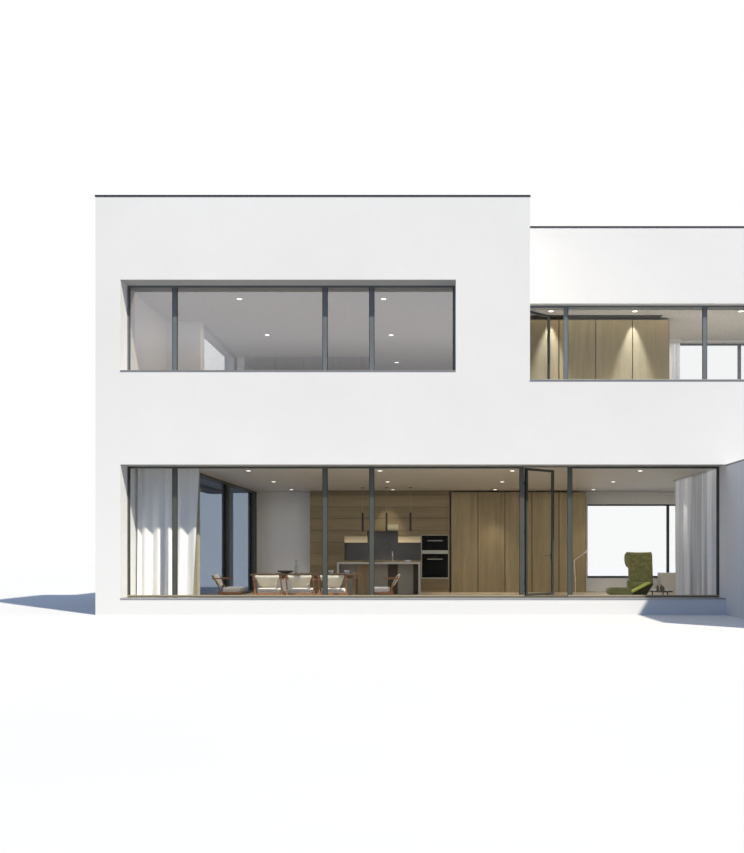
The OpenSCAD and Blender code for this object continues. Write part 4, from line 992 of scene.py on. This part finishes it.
def tableware():
    """Bowl, bottle and cups on the dining table; bottles and cups on the low table by the lounge chair."""
    y, top = 2.15, TABLE_TOP + 0.0005
    ware("bowl", [(3.19, y, top)],
         [(0.0, 0.0), (0.05, 0.0), (0.06, 0.006), (0.15, 0.03), (0.172, 0.062), (0.166, 0.064), (0.14, 0.04),
          (0.05, 0.016), (0.0, 0.014)], "olive_ware", 48)
    ware("bottle", [(3.41, y, top)],
         [(0.0, 0.0), (0.034, 0.0), (0.038, 0.01), (0.038, 0.13), (0.03, 0.165), (0.012, 0.2), (0.011, 0.25),
          (0.016, 0.255), (0.016, 0.285), (0.0, 0.285)], "bottle_glass")
    ware("cups", [(4.13, y, top), (4.46, y, top)],
         [(0.0, 0.0), (0.03, 0.0), (0.05, 0.03), (0.056, 0.065), (0.053, 0.065), (0.046, 0.032), (0.028, 0.006),
          (0.0, 0.006)], "white")
    top = 0.3735
    bottles = bmesh.new()
    for x, y, r, h in ((10.83, 1.93, 0.03, 0.12), (10.89, 1.86, 0.026, 0.14), (10.95, 1.97, 0.035, 0.1)):
        lathe(bottles, at(x, y, top),
              [(0.0, 0.0), (r, 0.0), (r, h * 0.6), (r * 0.45, h * 0.8), (r * 0.4, h), (0.0, h)], 24)
    piece("low_table_bottles", bottles, "olive_ware", smooth=True)
    ware("low_table_cups", [(11.02, 1.88, top), (10.76, 1.86, top)],
         [(0.0, 0.0), (0.025, 0.0), (0.04, 0.05), (0.037, 0.05), (0.02, 0.006), (0.0, 0.006)],
         "white", 24)


def room_details():
    """Doors with shadow joints on the sideboard, a black strip on the ceiling before the wardrobes as painted shade,
    and skirting in the rooms.
    """
    x0, x1, joint = 12.445, 13.57, 0.004
    step = (x1 - x0) / 3
    box_piece("sideboard_doors", [(x0 + k * step + joint, x0 + (k + 1) * step - joint, 8.728, 8.741, 0.13, 0.585)
                                  for k in range(3)], "sideboard")
    # Painted shade: a black strip on the ceiling in front of the wardrobes
    box_piece("wardrobe_shade_strip", [(8.14, 11.06, 2.5, 2.715, 6.138, UPPER_CEILING)], "gasket")
    runs = ((1.33, 2.87, 9.148, 9.16), (10.38, 12.44, 9.148, 9.16), (14.268, 14.28, 0.5, 9.15))
    box_piece("skirting", [(*run, FLOOR, 0.14) for run in runs], "white", 0.003)


ceiling_spots()
gaskets()
kitchen_wall_details()
island_details()
tableware()
room_details()


# ------------ light and stage

def lamp(name, kind, place, turn, watts, color, **settings):
    """A lamp that shows in no mirror; place in house coordinates, turn in degrees about x and y."""
    data = bpy.data.lights.new(name, kind)
    data.energy = watts
    data.color = color
    for key, value in settings.items():
        setattr(data, key, value)
    obj = linked(name, data)
    obj.location = at(*place)
    obj.rotation_euler = (math.radians(turn[0]), math.radians(turn[1]), 0.0)
    obj.visible_glossy = False
    return obj


def sky_and_sun():
    """White where it is seen, blue daylight for the house, and a warm sun from the right."""
    world = bpy.data.worlds.new("world")
    bpy.context.scene.world = world
    world.use_nodes = True
    w = Nodes(world.node_tree, "ShaderNodeOutputWorld")
    daylight = w.node("ShaderNodeBackground", Color=(0.42, 0.6, 1.0), Strength=0.49)
    white = w.node("ShaderNodeBackground", Color=(1.0, 1.0, 1.0), Strength=1.0)
    w.blend(w.seen(), daylight.outputs[0], white.outputs[0])

    sun = bpy.data.lights.new("sun", "SUN")
    sun.energy = 4.55
    sun.angle = math.radians(1.5)
    sun.color = (1.0, 0.93, 0.8)
    rays = Vector((-0.578, 0.704, -1.0))
    linked("sun", sun).rotation_euler = rays.to_track_quat("-Z", "Y").to_euler()


def soft_lamps():
    """A soft panel under each ceiling, daylight that enters through the gallery glass and falls on the right
    curtain, and the light that the balcony throws up to the ceiling behind it."""
    panel, bounce = (1.0, 0.93, 0.82), (1.0, 0.94, 0.8)
    for name, size, place, turn, watts, color in (
            ("dining_panel", (6.1, 7.0), (4.55, 4.7, 2.8), 0.0, 70.0, panel),
            ("lounge_panel", (5.8, 7.0), (11.1, 4.7, 2.8), 0.0, 54.0, panel),
            ("upper_panel", (5.8, 5.6), (4.4, 3.8, 6.1), 0.0, 80.0, panel),
            ("set_back_panel", (5.7, 2.6), (11.15, 3.5, 6.1), 0.0, 84.0, panel),
            ("gallery_daylight", (2.3, 7.2), (1.55, 5.2, 1.45), -90.0, 10.0, (0.62, 0.76, 1.0)),
            ("curtain_daylight", (2.3, 5.0), (12.8, 3.6, 1.5), -90.0, 31.0, (0.78, 0.88, 1.0)),
            ("balcony_bounce", (5.6, 2.2), (11.3, 3.4, 4.3), 180.0, 28.0, bounce),
            ("balcony_glow", (5.6, 0.5), (11.3, 2.3, 4.4), 180.0, 18.0, bounce)):
        obj = lamp(name, "AREA", place, (0.0, turn), watts, color, shape="RECTANGLE", size=size[0], size_y=size[1])
        obj.visible_camera = False


def beams():
    """A narrow beam at each plain ceiling spot, and washes of light on doors, worktop and right curtain."""
    warm, cool = (1.0, 0.9, 0.74), (0.64, 0.705, 1.0)
    rows = [(spot, 55.0, 68.0, (0.0, 0.0), warm, 0.6, False) for spot in SPOTS if spot not in WARDROBE_SPOTS]
    rows.append(((7.55, 8.15, GROUND_CEILING), 8.0, 72.0, (1.0, 0.0), warm, 0.6, True))
    rows += [((x, 2.6, UPPER_CEILING), 680.0, 50.0, (13.0, 0.0), cool, 0.75, True) for x in (8.711, 10.476)]
    rows.append(((11.1, 3.7, GROUND_CEILING), 45.0, 32.0, (0.0, -36.0), warm, 0.6, False))
    rows.append(((5.0, 8.0, GROUND_CEILING), 26.0, 50.0, (26.0, 0.0), warm, 0.6, False))
    for k, ((x, y, z), watts, spread, turn, color, soft, even) in enumerate(rows):
        data = lamp(f"beam_{k}", "SPOT", (x, y, z - 0.03), turn, watts, color, spot_size=math.radians(spread),
                    spot_blend=soft, shadow_soft_size=0.03).data
        if even:
            # A wash close to doors is as bright at their foot as at their head
            data.use_nodes = True
            nodes, links = data.node_tree.nodes, data.node_tree.links
            falloff = nodes.new("ShaderNodeLightFalloff")
            falloff.inputs["Strength"].default_value = 1.0
            shine = next(n for n in nodes if n.type == "EMISSION")
            links.new(falloff.outputs["Constant"], shine.inputs["Strength"])


def ground_stage():
    """The ground looks pale, but throws less light back up, as a lawn does."""
    s = Shader("pale_ground")
    pale = s.mix(s.patches(0.2, 4.0), (0.74, 0.74, 0.735), (0.77, 0.77, 0.765))
    s.principled(Base_Color=s.mix(s.seen(), (0.2, 0.21, 0.21), pale), Roughness=0.9)
    bm = bmesh.new()
    bmesh.ops.create_grid(bm, x_segments=1, y_segments=1, size=60.0)
    mesh = as_mesh(bm, "ground")
    mesh.materials.append(s.mat)
    ground = linked("ground", mesh)


sky_and_sun()
soft_lamps()
beams()
ground_stage()
bpy.context.scene.view_settings.view_transform = "Standard"
